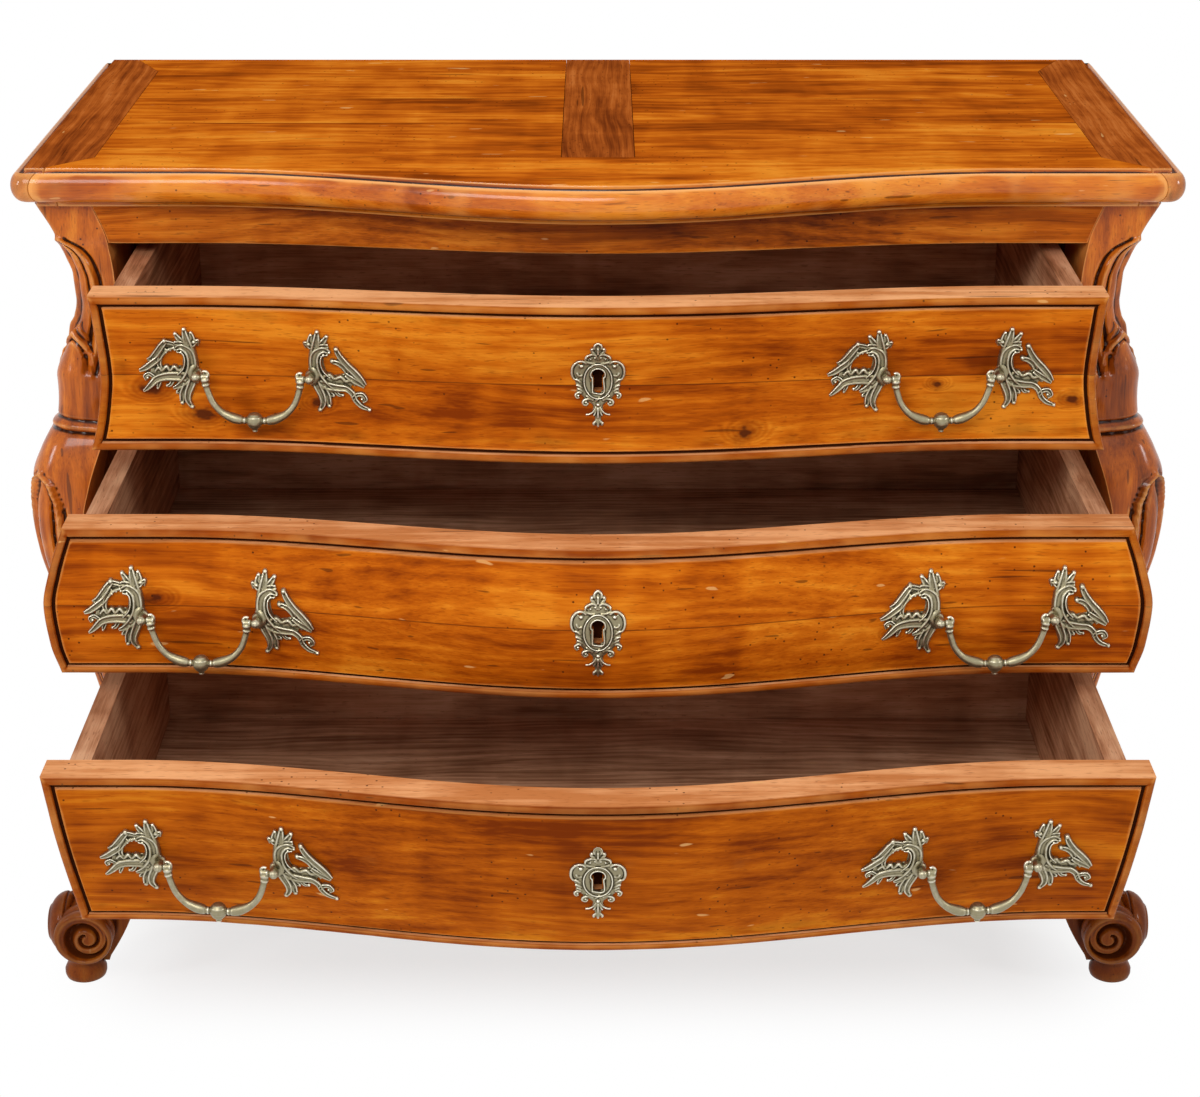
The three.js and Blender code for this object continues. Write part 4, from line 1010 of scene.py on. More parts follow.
for end in ("front", "rear"):
    for side, sign in sides:
        made = leg(end, side, sign)
        finish_piece(made, "case", leg_wood, [f"{end}_leg_{side}"], sharp=50, step_wanted=0.0014)
        darken_scrolls(made, end)
        print(end, side, "leg:", len(made.data.polygons), "faces")

# %% [markdown]
# ## The top
# The top is one slab made of boards. Its edge is a thick bullnose under a thin step, called a quirk, and
# over a fillet. The outline of the slab is drawn in by the moulding at each height, and the boards are
# then cut from that one slab with planes, so the moulding runs through from board to board.

# %% The slab and its boards
bullnose = [(12 - 12 * math.cos(a), 949 + 16 * math.sin(a)) for a in np.linspace(-90, 68, 18) * math.pi / 180]
slab_profile = [(26, 925), (24.4, 925.2), (23.8, 926.5), (23.6, 930.6), (22, 931.6), (14.5, 932.0)] + bullnose + [
    (9.0, 963.2), (10.2, 962.0), (11.2, 960.6), (12.2, 959.9), (13.2, 960.2), (14.0, 961.2), (14.6, 962.6),
    (15.0, 964.2), (15.2, 965.7), (15.5, 967.1), (16.1, 967.8), (17.2, 968.0)]
drawn_foot, drawn_top = 925, 968
corner_radius = 0.018
least_corner_radius = 0.002


def slab_outline(inset):
    radius = max(corner_radius - inset, least_corner_radius)
    edge_x = half_width - inset - radius
    corner_y = front_plane + inset + radius
    x = np.linspace(-edge_x, edge_x, 150)
    y = front_plane + inset - serpentine(x, slab_swell, swell_reach(underside))
    turn = np.linspace(0, np.pi / 2, 12)[1:]
    right = np.stack([edge_x + radius * np.sin(turn), corner_y - radius * np.cos(turn)], -1)
    left = right[::-1] * np.array([-1, 1])
    side_y = np.linspace(corner_y, slab_back, 12)[1:]
    right_side = np.stack([np.full(11, half_width - inset), side_y], -1)
    left_side = right_side[::-1] * np.array([-1, 1])
    return np.concatenate([np.stack([x, y], -1), right, right_side, left_side, left])


def whole_slab():
    millimetre = (slab_top - underside) / (drawn_top - drawn_foot)
    rings = []
    for inset, height in slab_profile:
        outline = slab_outline(inset * millimetre)
        z = underside + (height - drawn_foot) * millimetre
        rings.append(np.column_stack([outline, np.full(len(outline), z)]))
    return ring_body("slab", rings)


def board_from(slab, name, planes):
    work = bmesh.new()
    work.from_mesh(slab.data)
    for point, normal in planes:
        everything = list(work.verts) + list(work.edges) + list(work.faces)
        bmesh.ops.bisect_plane(work, geom=everything, plane_co=point, plane_no=normal, clear_outer=True)
        bmesh.ops.edgeloop_fill(work, edges=[e for e in work.edges if e.is_boundary])
    mesh = bpy.data.meshes.new(name)
    work.to_mesh(mesh)
    work.free()
    return link(name, mesh)


field_low, field_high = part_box("top_field_right")
field_side = field_high.x
half_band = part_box("top_centre_band")[1].x
back_rail_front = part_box("top_back_rail")[0].y
gap = 0.0007
slab = whole_slab()
front_cut, back_cut = ((0, field_low.y, 0), (0, -1, 0)), ((0, field_high.y, 0), (0, 1, 0))
under_cut = ((0, 0, field_low.z), (0, 0, -1))


def both_ends(x, y, normal):
    return [((way * x, y, 0), (way * normal[0], normal[1], 0)) for way in (1, -1)]


def field_cuts(way):
    return [((way * field_side, 0, 0), (way, 0, 0)), ((way * (half_band + gap), 0, 0), (-way, 0, 0)),
            front_cut, back_cut, under_cut]


def end_cuts(way):
    x = way * (field_side + gap)
    return [((x, 0, 0), (-way, 0, 0)), ((x, field_low.y, 0), (-way, -1, 0)),
            ((x, back_rail_front, 0), (-2 * way, 1, 0))]


board_cuts = {
    "top_front_rail": [((0, field_low.y - gap, 0), (0, 1, 0)), *both_ends(field_side, field_low.y - gap, (1, 1))],
    "top_back_rail": [((0, back_rail_front, 0), (0, -1, 0)), *both_ends(field_side, back_rail_front, (2, -1))],
    "top_field_right": field_cuts(1), "top_field_left": field_cuts(-1),
    "top_centre_band": [*both_ends(half_band, 0, (1, 0)), front_cut, under_cut],
    "top_end_band_right": end_cuts(1), "top_end_band_left": end_cuts(-1)}


def lap_tool():
    low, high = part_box("top_centre_band")
    half, back = high.x + seat_gap, high.y + 0.05
    corners = [(-half, low.y), (half, low.y), (half, back), (-half, back)]
    return ring_body("lap_tool", [[(x, y, z) for x, y in corners]
                                  for z in (field_low.z - seat_gap, slab_top + 0.01)])


for node, planes in board_cuts.items():
    board = board_from(slab, node + "_board", planes)
    if node == "top_back_rail":
        cut(board, lap_tool(), "DIFFERENCE")
    banded = "band" in node
    finish_piece(board, "case", band_wood if banded else top_wood,
                 [node], 30, 0.003)
    print(node, len(board.data.polygons), "faces")
bpy.data.objects.remove(slab)

# %% [markdown]
# ## Cast fittings
# The plates are openwork castings of curling leaves. A leaf is a stroke: a line of points, each with a
# width and a height, swept with a rounded section. Strokes laid over each other are fused by a voxel
# remesh, which rounds the joints as casting does. The finished relief is then pressed onto the bombe
# surface of its drawer.

# %% Strokes and castings
stroke_sides = 14


def smooth_path(points, steps):
    points = np.array(points, float)
    fine = np.linspace(0, len(points) - 1, steps)
    low = np.clip(fine.astype(int), 0, len(points) - 2)
    t = fine - low
    out = []
    for column in points.T:
        padded = np.concatenate([[2 * column[0] - column[1]], column, [2 * column[-1] - column[-2]]])
        a, b, c, d = (padded[low + k] for k in range(4))
        out.append(0.5 * (2 * b + (c - a) * t + (2 * a - 5 * b + 4 * c - d) * t ** 2
                          + (3 * b - a - 3 * c + d) * t ** 3))
    return np.stack(out, -1)


def stroke(points, steps=None, crease=0.22):
    """Points are (x, z, half width, height) in millimetres; the section stands on the plane y = 0."""
    path = smooth_path(points, steps or 7 * len(points))
    spots, widths, heights = path[:, :2], np.maximum(path[:, 2], 0.25), np.maximum(path[:, 3], 0.3)
    around = circle(stroke_sides)
    section = 1 - crease * bump_at(np.abs(around - np.pi / 2), 0.42)
    rings = []
    for spot, width, height, side in zip(spots, widths, heights, path_side(spots)):
        out = np.where(np.sin(around) > 0, np.sin(around) * height * section, np.sin(around) * 0.9)
        x, z = (spot + (np.cos(around) * width)[:, None] * side).T
        rings.append(np.stack([x, -out, z], -1))
    return shell(rings)


def plain_stroke(*points):
    return stroke(points, crease=0)


def casting(name, strokes, voxel, smooth=2):
    points, faces = merged(strokes)
    piece = new_piece(name, points * 0.001, faces, weld=False)
    fuse = piece.modifiers.new("fuse", "REMESH")
    fuse.mode = "VOXEL"
    fuse.voxel_size = voxel
    ease = piece.modifiers.new("ease", "SMOOTH")
    ease.factor = 0.5
    ease.iterations = smooth
    apply_changes(piece)
    cast = read(piece.data.vertices, "co"), [tuple(p.vertices) for p in piece.data.polygons]
    bpy.data.objects.remove(piece)
    return cast


bead_shares = ((-0.9, 0.25, 0.35), (-0.55, 0.82, 0.85), (0, 1, 1), (0.55, 0.82, 0.85), (0.9, 0.25, 0.35))


def beads(*spots):
    return [plain_stroke(*((x + radius * along, z, radius * wide, height * high)
                           for along, wide, high in bead_shares)) for x, z, radius, height in spots]


# %% [markdown]
# ## A handle's leaves
# The two leaves of a handle share a core: a sprig above the post, a broad scroll, a forked stem and a
# shield that the bail swings from. Their wings differ, as the caster's models did: the outer one sweeps
# up, the inner one trails down and ends in a curl. Low webs behind the strokes tie the leaf together.
# Distances run outwards from the post.

# %% Strokes of the leaves
def mirrored_stroke(points, **options):
    return stroke([(-x, z, w, h) for x, z, w, h in points], **options)


def blade(*points):
    """A leaf blade: a low web between two rolled edges, which leave a groove along its middle."""
    path = np.array(points, float)
    spots, width, height = path[:, :2], path[:, 2], path[:, 3]
    made = []
    for way, wide, high in ((0, 1.04, 0.74), (-0.60, 0.44, 1), (0.60, 0.44, 0.90)):
        shifted = spots + path_side(spots) * (way * width)[:, None]
        made.append(plain_stroke(*np.column_stack([shifted, width * wide, height * high])))
    return made


leaf_core = [
    *blade((-3, 11, 4.6, 4.4), (-5, 23, 5.4, 5), (-7, 33, 5, 5.2), (-8.5, 41, 3.8, 4.6), (-9.5, 48.5, 2.2, 3.4)),
    *blade((-8, 31, 2.6, 4), (-14, 37, 3.4, 4.4), (-18.5, 43.5, 2.2, 3.4)),
    *blade((-5, 32, 2.6, 4), (-1.6, 38, 3, 4.2), (-3, 45, 2, 3.2)),
    *blade((-8, 28, 2.4, 4), (-2, 32.5, 3.2, 5), (3, 36, 2.8, 4.4), (2, 30.5, 1.8, 3.2)),
    *blade((-6, 28, 2.8, 4.2), (-13, 33, 3.4, 4.6), (-20, 33.5, 2.8, 4)),
    *blade((-21, 26.5, 2.4, 4.4), (-14, 29.5, 3.8, 5.6), (-6.5, 24, 5.4, 6.6), (-4.4, 14, 5.8, 7.2), (-6, 3, 6, 7.2),
           (-12, -7, 5.2, 6.2), (-19, -13.5, 3.8, 4.8), (-27, -17, 1.6, 3)),
    plain_stroke((-19, 24, 1.1, 5.4), (-13, 22.5, 1.2, 6.8), (-11.2, 15, 1.3, 7.8), (-13.5, 6, 1.3, 7.6),
                 (-20, -2, 1.1, 6)),
    *blade((-4, -4, 5, 6), (-7, -12, 4.8, 5.8), (-11, -22, 4.2, 5.2), (-11.5, -30, 3.4, 4.6), (-8.4, -37, 2, 3.4)),
    *blade((-12, -12, 3.8, 5), (-16.5, -22, 3.6, 4.8), (-18, -31, 2.6, 4)),
    *blade((-16, -16, 2.6, 4), (-22.5, -21.5, 2.2, 3.4)),
    stroke([(1, 9, 3, 6.2), (-4, 6, 4.4, 8.4), (-6, -1, 4.6, 8.8), (-3, -8, 3.2, 6.8), (0, -11, 1.6, 4.2)],
           crease=0.12),
    plain_stroke((-18, 26, 4.6, 2.2), (-8, 22, 7, 2.6), (-7, 8, 8, 2.8), (-12, -4, 7, 2.6), (-10, -16, 6, 2.2),
                 (-13, -28, 5, 2)),
    *beads((-9.5, 49, 2.8, 4), (-18.6, 44, 2.6, 3.8), (-0.4, 35, 3, 5.4), (-8, -37, 2.9, 4),
           (-17.6, -32.5, 2.9, 4.2), (-22.6, -21.6, 2.3, 3.4), (-14.5, 24, 2, 6.4), (-20.4, 26.3, 2.2, 5.4),
           (-3, 45.2, 2.1, 3.4)),
]
rising_wing = [
    *blade((-20, 32.5, 2.6, 4.2), (-26, 34, 2.8, 4.2), (-31.5, 35, 2.8, 4.2)),
    *beads((-32, 35.8, 3.4, 5.2)),
    *blade((-31, 35.5, 3.2, 4.8), (-36, 30.5, 4.2, 5.4), (-42, 23.5, 4.4, 5.4), (-49, 17, 3.2, 4.4),
           (-55.5, 14.5, 1.1, 2.4)),
    *blade((-34, 24, 2.6, 4.2), (-42, 16, 4, 5.2), (-50, 10.5, 4.2, 5.2), (-58, 5.5, 3.6, 4.6), (-66, 2, 1.8, 3)),
    *blade((-32, 28, 2.6, 4), (-37.5, 20, 3, 4.4), (-41, 10, 3, 4.6), (-38, 2, 2.6, 4.2)),
    plain_stroke((-36, 19, 1.9, 4), (-29, 25.5, 2.4, 4.6), (-21, 28.5, 2.4, 5)),
    *beads((-31, 23.2, 2.1, 5), (-25.6, 25.8, 2.1, 5.2)),
    plain_stroke((-47, 1.5, 1.9, 3.8), (-42, 5.8, 2.4, 5), (-38, 2.8, 2.4, 4.8), (-32.5, 7.2, 2.6, 5.4),
                 (-28.5, 3, 2.4, 5), (-23, 7.2, 2.7, 5.8), (-18, 3, 2.6, 5.6), (-13, 6.6, 2.5, 5.6)),
    *blade((-12, -4, 6.4, 5.8), (-24, -3.5, 6, 5.4), (-35, -4, 5.4, 5), (-45, -6.5, 4.8, 4.8), (-52, -12, 4, 4.6),
           (-58, -17, 2.8, 3.6), (-63, -20.5, 1.3, 2.4)),
    *blade((-49, -4, 2.2, 4), (-54.5, -1, 2.5, 4.2), (-59.5, -3.6, 2.3, 4), (-58, -8.4, 1.6, 3)),
    *beads((-56.2, -5.2, 2.1, 4.4)),
    *blade((-41, -8, 2.4, 4), (-44, -13.5, 2.4, 4), (-45, -17, 1.6, 3)),
    *beads((-45.2, -16.5, 2.4, 3.6)),
    *blade((-26, -8, 2.4, 4), (-30, -13, 2.4, 4), (-34, -14.5, 1.5, 3)),
    *beads((-33.8, -14, 2.2, 3.4)),
    plain_stroke((-14, 1, 7, 2.6), (-28, 1, 7, 2.4), (-42, 0, 6.5, 2.2), (-52, 2, 5, 2)),
    plain_stroke((-24, 32, 3.8, 2), (-33, 31, 4.6, 2), (-40, 20, 5.5, 2), (-46, 12, 6, 2), (-56, 6, 4, 1.8)),
]
trailing_wing = [
    *beads((-28, 30, 3.4, 5.2)),
    *blade((-28, 29.5, 3, 4.6), (-30.5, 24, 3.6, 4.8), (-34.5, 18, 4, 5), (-39, 12.5, 4.2, 5.2),
           (-46, 5.5, 4.4, 5.2), (-53, -2, 3.8, 4.8), (-58, -9, 2.2, 3.2)),
    *blade((-23, 16, 2.8, 4.6), (-29, 14.5, 3.2, 4.8), (-35, 10, 3.2, 4.6), (-39, 3.5, 2.8, 4.2)),
    *beads((-23, 16.4, 3.2, 5.2)),
    *blade((-37, 2, 2.8, 4.4), (-45, -3.5, 3.6, 4.8), (-52.5, -8, 3, 4), (-57, -11.5, 1.5, 2.8)),
    plain_stroke((-12, -1, 2.4, 5.2), (-19, 1.4, 2.6, 5.4), (-24.5, -2.8, 2.4, 4.8), (-31.5, -0.6, 2.6, 5),
                 (-36.5, -5, 2.4, 4.4), (-43, -4.6, 2.4, 4.2), (-47, -9.8, 1.9, 3.6)),
    *blade((-9, -8.5, 5.6, 5.6), (-18, -11, 5.2, 5.2), (-28, -12.5, 4.6, 5), (-36.5, -13.2, 4, 4.8),
           (-43, -18, 3.6, 4.6), (-46.5, -25.5, 3.2, 4.2), (-52.5, -31.5, 2.8, 3.8), (-61, -35, 2, 3)),
    *beads((-61.5, -35.2, 2.7, 3.8)),
    *blade((-44, -24, 2.6, 4.2), (-48, -19.6, 2.8, 4.4), (-54.5, -19, 2.8, 4.4), (-58, -24, 2.3, 3.8),
           (-54, -27.2, 1.6, 3)),
    *beads((-53.6, -23.6, 1.9, 4.4)),
    *blade((-24, -15, 2.2, 4), (-28, -20, 2.2, 3.8), (-33, -21, 1.5, 3)),
    *beads((-32.8, -20.6, 2.1, 3.4)),
    plain_stroke((-12, -4, 7, 2.6), (-24, -6, 7, 2.4), (-36, -4, 6.5, 2.2), (-44, -8, 5, 2)),
    plain_stroke((-32, 14, 5, 2), (-40, 6, 5.6, 2), (-49, -3, 4.6, 2)),
]
leaf_voxel = 0.00058
leaves = {"left": casting("rising leaf", leaf_core + rising_wing, leaf_voxel),
          "right": casting("trailing leaf", leaf_core + trailing_wing, leaf_voxel)}
for end, pull_in in (("left", 0.84), ("right", 0.92)):
    wing = leaves[end][0][:, 0]
    wing[wing < -0.020] = -0.020 + (wing[wing < -0.020] + 0.020) * pull_in
print("leaf castings:", [len(found) for _, found in leaves.values()], "faces")

# %% [markdown]
# ## Post, bail and nut
# A turned post stands in the leaf and carries the pin of the bail. The bail is a rod that thickens
# towards a ball between two collars, and curls into an eye at each end. A threaded stud passes through
# the front to a nut inside.

# %% Turned parts and the bail
bail_spacing = 0.114
bail_standoff = 0.015
turned_voxel = 0.0007
post_profile = [(5, 1), (5.4, -1.5), (5, -3.6), (3.4, -5.4), (3, -7.2), (3.6, -9.2), (4.8, -11.4), (5, -13.2),
                (5, -16.6), (4.4, -18.6), (3, -20.2), (1.2, -21.1), (0.3, -21.3)]
ball_profile = [(0.4, -12.4), (2.6, -11.4), (3, -10.2), (2.2, -9.2), (3.8, -8.2), (6.4, -5.8), (8.1, -2.2),
                (8.3, 0.6), (7.6, 4.4), (5.2, 7.2), (2, 8.5), (0.3, 8.7)]


def tube(points, radii, count=16):
    path = np.array(points, float)
    out_way = np.array([0.0, 1.0, 0.0])
    sides_along = unit(np.cross(unit(np.gradient(path, axis=0)), out_way))
    around = circle(count)[:, None]
    return shell([spot + radius * (np.cos(around) * side + np.sin(around) * out_way)
                  for spot, radius, side in zip(path, radii, sides_along)])


arm = 48.0
ball_drop = 45.0
half_bail = smooth_path([(arm, 0), (47.6, -7), (45.4, -16), (41, -27), (33.5, -36), (24, -41.5), (14, -44.5),
                         (6.5, -ball_drop)], 60)
rod_radius = through([(0, 3.4), (0.05, 5), (0.10, 4.2), (0.125, 3.4), (0.16, 4.4), (0.20, 3.2), (0.45, 3.3),
                      (0.56, 3.6), (0.68, 4.7), (0.77, 5.3), (0.86, 4.6), (0.905, 3.2), (0.925, 4.2), (0.95, 3.2),
                      (1, 3.2)])(np.linspace(0, 1, len(half_bail)))
eye = np.linspace(0.3 * np.pi, 1.75 * np.pi, 26)
bail_strokes = []
for sign in (-1, 1):
    bail_strokes.append(tube(np.stack([sign * half_bail[:, 0], 0 * rod_radius, half_bail[:, 1]], -1), rod_radius))
    ear = np.stack([sign * (arm - 0.2 + 3.6 * np.cos(eye) * 0.9), 0 * eye, 1.8 + 4.2 * np.sin(eye)], -1)
    bail_strokes.append(tube(ear, np.linspace(1.5, 2.3, len(eye)), 12))
    pin = [(3.6 if x < 51.4 else 2.0, sign * x) for x in np.linspace(arm - 3.4, 56, 8)]
    bail_strokes.append(shell(turned(pin, 16, "x")))
bail_strokes.append(shell(turned(ball_profile, 28, "z") + (0, 0, -ball_drop)))
bail_points, bail_faces = casting("bail", bail_strokes, turned_voxel, 1)
post_points, post_faces = casting("post", [shell(turned(post_profile, 20, "y"))], turned_voxel, 1)
print("bail casting:", len(bail_faces), "faces")

# %% [markdown]
# ## Fitting the handles
# A leaf belongs to each end of a bail and is mirrored for the other end. Its points move out along -Y by
# their own height from the surface of the drawer at that place.

# %% Place the handles
stud_radius = 0.0025
stud_overlap = 0.004
nut_radius = 0.006
nut_thickness = 0.004
nut_chamfer = 0.0006
past_nut = 0.002
nut_profile = [(0.93 * nut_radius, 0), (nut_radius, nut_chamfer), (nut_radius, nut_thickness - nut_chamfer),
               (0.9 * nut_radius, nut_thickness)]


def pressed(points, row, at_x, at_z, way=1):
    x, z = points[:, 0] * way + at_x, points[:, 2] + at_z
    return np.stack([x, face(x, z) - pulled[row] - seat_gap + np.minimum(points[:, 1], 0), z], -1)


def bail_place(row, side):
    joint = next(j for j in frame["joints"] if j["name"] == f"{row}_{side}_bail_pivot")
    axis = Vector(joint["axis"])
    along = -axis if axis.x < 0 else axis
    return Vector(joint["pos_m"]), along, math.atan2(along.y, along.x)


def leaf_parts(row, end, toward, at, nut_y):
    leaf_points, leaf_faces = leaves[end]
    base_y = at.y + bail_standoff
    stud = [(stud_radius, base_y - stud_overlap), (stud_radius, nut_y + nut_thickness + past_nut)]
    return [(pressed(leaf_points, row, at.x, at.z, -toward),
             leaf_faces if toward < 0 else [f[::-1] for f in leaf_faces]),
            (np.minimum(post_points, (np.inf, -0.0005, np.inf)) + (at.x, base_y, at.z), post_faces),
            shell(turned(stud, 12, "y") + (at.x, 0, at.z)), shell(turned(nut_profile, 6, "y") + (at.x, nut_y, at.z))]


for row in rows:
    for side, _ in sides:
        centre, along, turn = bail_place(row, side)
        bail = new_piece(f"{row}_{side}_bail_cast", swung(bail_points, turn) + np.array(centre), bail_faces, False)
        finish_piece(bail, f"{row}_{side}_bail", brass, [f"{row}_{side}_handle_bail"], 180)
        for end, toward in sides:
            node = f"{row}_{side}_handle_plate_{end}"
            nut_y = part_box(node)[1].y - past_nut - nut_thickness
            parts = leaf_parts(row, end, toward, centre + along * (toward * bail_spacing / 2), nut_y)
            plate = new_piece(f"{row}_{side}_leaf_{end}", *merged(parts), False)
            finish_piece(plate, f"{row}_drawer", brass, [node], 60)
print("handles:", 2 * len(rows))

# %% [markdown]
# ## Keyhole plates
# The keyhole plate is a small cartouche: a raised oval with a moulded rim round the keyhole, scrolls at
# its shoulders, a shell crest above and a leafy drop below.

# %% Strokes of the keyhole plate
def both(*lines, **options):
    return [made for line in lines for made in (stroke(line, **options), mirrored_stroke(line, **options))]


def mirrored_beads(*spots):
    return beads(*((side * x, z, r, h) for side in (-1, 1) for x, z, r, h in spots))


def oval(rx, rz, middle, width, height):
    turn = np.linspace(0, 2 * np.pi, 23)
    ring = [(middle[0] + rx * math.cos(t), middle[1] + rz * math.sin(t), width, height) for t in turn]
    return stroke(ring, steps=90, crease=0)


def keyhole_rim(out, width, height):
    grown = keyhole_outline(keyhole_radius + out, keyhole_slot + 2 * out, keyhole_height + 2 * out)
    ring = [(x * 1000, (z + keyhole_rise) * 1000, width, height) for x, z in grown]
    return stroke(ring + ring[:1], steps=120, crease=0)


dish = [oval(11, 16.6, (0, 3.6), 3.6, 1.8), oval(13.8, 18.8, (0, 3.4), 0.95, 3.6), keyhole_rim(0.0008, 1.1, 3.4),
        oval(17, 20.5, (0, 4.5), 5, 1.5), plain_stroke((0, -12, 15, 1.5), (0, -17, 12, 1.5), (0, -22, 6, 1.5))]
shoulders = both([(-11.5, 22.3, 1.2, 3.2), (-15, 25, 1.4, 3.8), (-20, 24.6, 1.5, 4), (-24.6, 20, 1.5, 4.2),
                  (-26, 13.5, 1.5, 4.2), (-25.2, 8, 1.4, 3.8), (-23, 4.5, 1.2, 3.2)],
                 [(-21, 12, 1, 2.8), (-19, 9, 1.2, 3), (-15.5, 9.3, 1, 2.8)],
                 [(-23.6, 5, 1.1, 3.2), (-20.5, 4.6, 1.4, 3.6), (-17.4, 1.5, 1, 2.8)],
                 [(-21.8, -1, 1.1, 3.2), (-18.8, -1.8, 1.4, 3.6), (-16, -4.5, 1, 2.6)],
                 [(-20.4, -5, 1, 3), (-17.8, -5.8, 1.3, 3.4), (-15.4, -8.4, 0.9, 2.4)],
                 [(-16.5, -9.5, 1.1, 3.2), (-19.5, -9, 1.3, 3.4), (-22.4, -11.5, 1.3, 3.4), (-21, -14.8, 1.2, 3.2),
                  (-18.4, -14.2, 1, 2.8)])
shoulders += both([(-17, 21, 5, 1.7), (-20, 14, 5.6, 1.5), (-19, 7, 4.5, 1.7)],
                  [(-19.5, 5, 4, 1.8), (-18, -3, 3.6, 1.8), (-18, -11, 3.6, 1.8)], crease=0)
shoulders += mirrored_beads((16.4, 19.7, 2.5, 3.6), (19.6, -12.2, 1.5, 3.4), (12, -19.3, 1.6, 3.4))
lower_part = both([(-11.5, -12.6, 1, 3), (-8, -14.4, 1.1, 3.2), (-5, -17, 1.2, 3.2), (-9, -15.8, 1.4, 3.4),
                   (-13.8, -17.2, 1.5, 3.6), (-15, -20.6, 1.4, 3.4), (-12, -22.6, 1.2, 3), (-9.6, -20.4, 1, 2.6)],
                  [(-1.6, -24, 0.9, 3.4), (-4.5, -29, 1, 3.2), (-8.6, -32, 1.1, 2.8), (-12.2, -32.4, 1, 2.4)],
                  [(-0.9, -25, 0.9, 3.4), (-2.6, -30, 1, 3.4), (-4.4, -34, 0.9, 2.8)],
                  [(-1, -38, 1.2, 2.8), (-4, -41.5, 1.7, 3), (-3.6, -43.8, 1.2, 2.4)])
lower_part += [plain_stroke((0, -25, 0.9, 3.6), (0, -31, 1.1, 3.6), (0, -36, 1, 3.2)),
               stroke([(0, -36, 1.4, 3.2), (0, -41, 1.9, 3.2), (0, -45.4, 1.2, 2.6)]),
               stroke([(-2.4, -18.4, 0.8, 3.2), (-0.4, -16.2, 1.3, 4), (1.6, -14.2, 0.8, 3.2)]),
               *beads((0, -21.5, 2.5, 4.8)), plain_stroke((0, -13, 8, 1.9), (0, -18, 9, 1.9), (0, -24, 5, 2),
                                                          (0, -30, 6, 2), (0, -35, 3.4, 1.8), (0, -42, 3.4, 1.6))]
crest = both([(-12.2, 26.5, 1.1, 3), (-11.4, 30.2, 1.4, 3.6), (-6.5, 33, 1.5, 4), (-2, 32, 1.3, 3.8),
              (-0.8, 27, 1, 3.2)], [(-12.5, 25, 1.2, 2.8), (-8, 23.2, 1.3, 3), (-3, 22.8, 1.2, 3.2)],
             [(-3, 33, 1.4, 3.2), (-6.2, 37, 1.7, 3.4), (-6.6, 40, 1.2, 2.6)],
             [(-3.4, 38.6, 1.2, 3.2), (-3.3, 43, 1.3, 3.4), (0, 46, 1.4, 3.4)])
crest += mirrored_beads((12, 29, 1.6, 3.2), (7.4, 28.2, 1.4, 3.6), (2.8, 29.6, 1.3, 3.6), (5.8, 39.2, 1.8, 3.4))
crest += [plain_stroke((0, 33, 1.3, 3.6), (0, 40, 1.1, 3)),
          plain_stroke((0, 21, 11.5, 1.9), (0, 27, 11, 1.9), (0, 33, 5.4, 1.9), (0, 38, 6, 1.8), (0, 44, 3, 1.6))]
cartouche_strokes = dish + shoulders + lower_part + crest
plate_points, plate_faces = casting("cartouche", cartouche_strokes, 0.0006, 1)


def keyhole_plate(row):
    spots = pressed(plate_points, row, 0, lock_height[row])
    spots[:, 1] = np.maximum(spots[:, 1], lock_box[row][0].y)
    return new_piece(row + "_keyhole_plate", spots, plate_faces, False)


for row in rows:
    finish_piece(keyhole_plate(row), row + "_drawer", brass, [row + "_escutcheon"], 180)
print("keyhole plate:", len(plate_faces), "faces")

# %% [markdown]
# ## Floor, light and camera
# The picture has a white ground with a soft shadow. The floor is a pale plane whose far part is plain
# white to the camera. One broad lamp stands high in front, two weaker ones fill the sides, and a white
# surround gives the brass something to reflect.

# %% Stage
white = (1, 1, 1, 1)
floor_half = 9.0
shadow_light = 0.44


def seen_directly(tree):
    """One for rays that reach the eye, also from a mirror or through glass, and zero for all others."""
    rays = tree.several("ShaderNodeLightPath", ("Is Camera Ray", "Is Glossy Ray", "Is Transmission Ray"))
    return rays[0].maths("MAXIMUM", rays[1]).maths("MAXIMUM", rays[2])


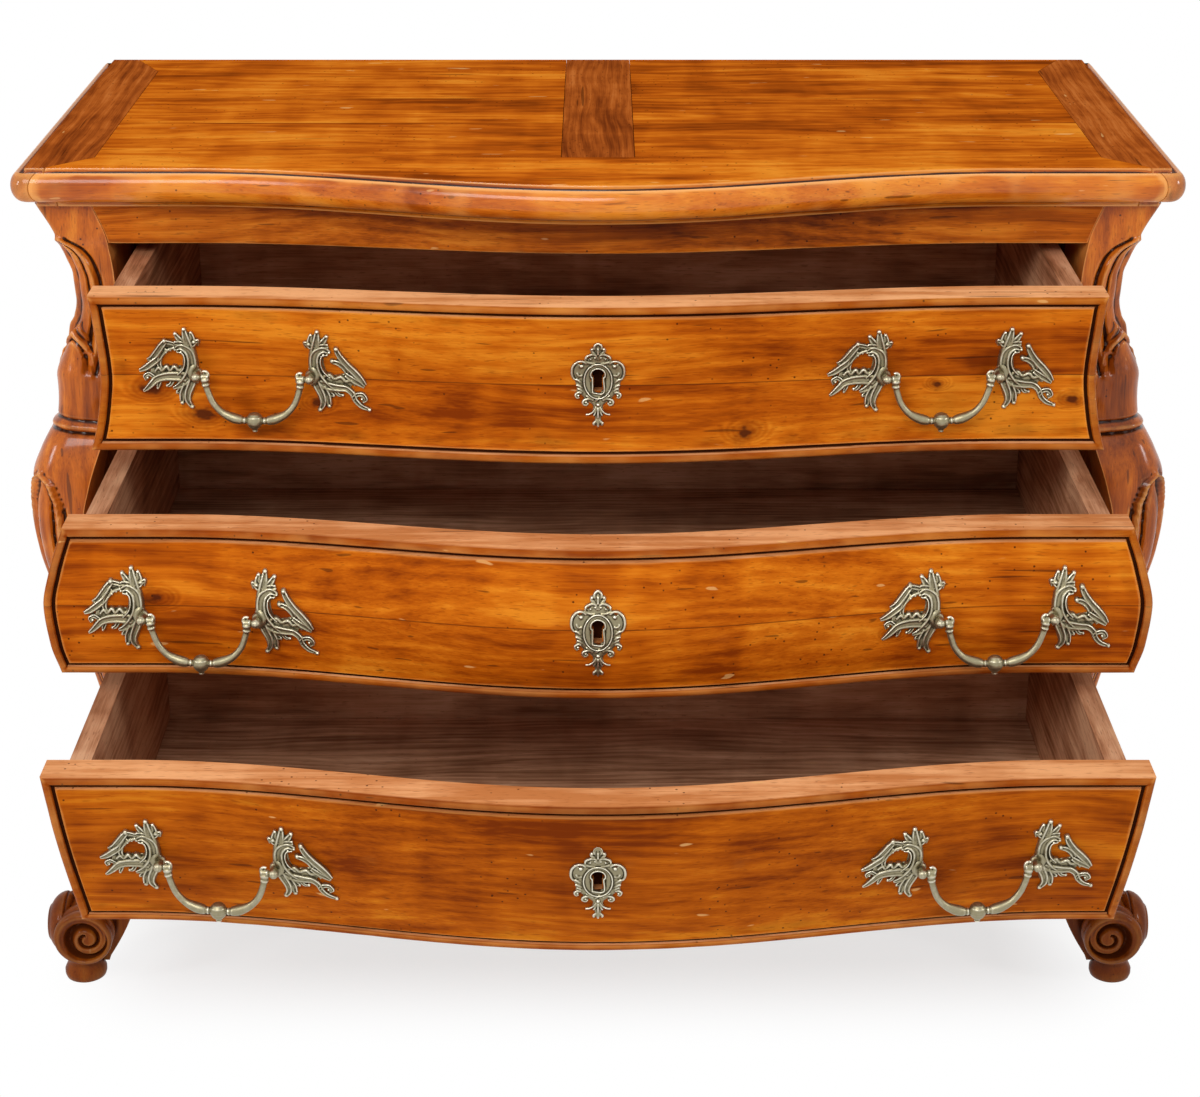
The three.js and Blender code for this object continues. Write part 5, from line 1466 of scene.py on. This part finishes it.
def floor_material():
    tree = Tree(bpy.data.materials.new("pale floor"))
    x, y, _ = tree.axes()
    past_side = (x.maths("ABSOLUTE") - 0.47).maths("MAXIMUM", 0)
    past_end = ((y - 0.217).maths("ABSOLUTE") - 0.20).maths("MAXIMUM", 0)
    away = (past_side * past_side + past_end * past_end) ** 0.5
    tree.set(Base_Color=(0.92, 0.92, 0.92, 1), Roughness=0.9)
    glow = tree.make("ShaderNodeEmission", {}, {"Color": white, "Strength": 1})
    plain = away.between(-0.03, 0.19, 0.66, 1) * seen_directly(tree)
    blend = tree.make("ShaderNodeMixShader", {}, [plain, Value(tree, tree.shader.outputs[0]), glow])
    tree.put(tree.nodes["Material Output"].inputs[0], blend)
    return tree.owner


floor_mesh = bpy.data.meshes.new("studio_floor")
floor_mesh.from_pydata([(x * floor_half, y * floor_half, 0) for x, y in ((-1, -1), (1, -1), (1, 3), (-1, 3))],
                       [], [(0, 1, 2, 3)])
floor_mesh.materials.append(floor_material())
floor = link("studio_floor", floor_mesh)
surround = Tree(bpy.data.worlds.new("white surround"))
bpy.context.scene.world = surround.owner
surround.set(Color=white, Strength=seen_directly(surround) * (1 - shadow_light) + shadow_light)


def lamp(name, place, aim, width, height, watts):
    light = bpy.data.lights.new(name, "AREA")
    light.shape = "RECTANGLE"
    light.size = width
    light.size_y = height
    light.energy = watts
    holder = link(name, light)
    holder.location = place
    holder.rotation_euler = (Vector(aim) - Vector(place)).to_track_quat("-Z", "Y").to_euler()


middle = (0, front_plane, 0.5)
lamp("key", (-0.9, -3.2, 3.0), middle, 2.4, 1.3, 72)
lamp("left_fill", (-3.4, -1.6, 1.8), middle, 0.5, 0.8, 24)
lamp("right_fill", (3.4, -1.4, 1.9), middle, 0.5, 0.8, 22)
lamp("top_light", (0, 0.6, 3.6), (0, 0, 0.9), 2.6, 1.6, 19)
print("lamps:", len(bpy.data.lights))

# %% [markdown]
# The camera stands high in front and looks down a little. Its lens and place were found from the corners
# of the top and the drawers, and a very small shift frames the picture.

# %% Camera
frame_width = 1200
sensor_width = 36
focal_pixels = 2620.6
camera_height = 1.617
camera_distance = 2.6
pitch = 0.387
camera_data = bpy.data.cameras.new("camera")
camera_data.sensor_width = sensor_width
camera_data.lens = sensor_width * focal_pixels / frame_width
camera_data.shift_x = 2.0 / frame_width
camera_data.shift_y = -1.63 / frame_width
camera_data.clip_end = 60
camera = link("camera", camera_data)
camera.location = (0, front_plane - camera_distance, camera_height)
camera.rotation_euler = (math.pi / 2 - pitch, 0, 0)
bpy.context.scene.camera = camera
bpy.context.scene.view_settings.view_transform = "Standard"
print("lens in mm:", round(camera_data.lens, 1))
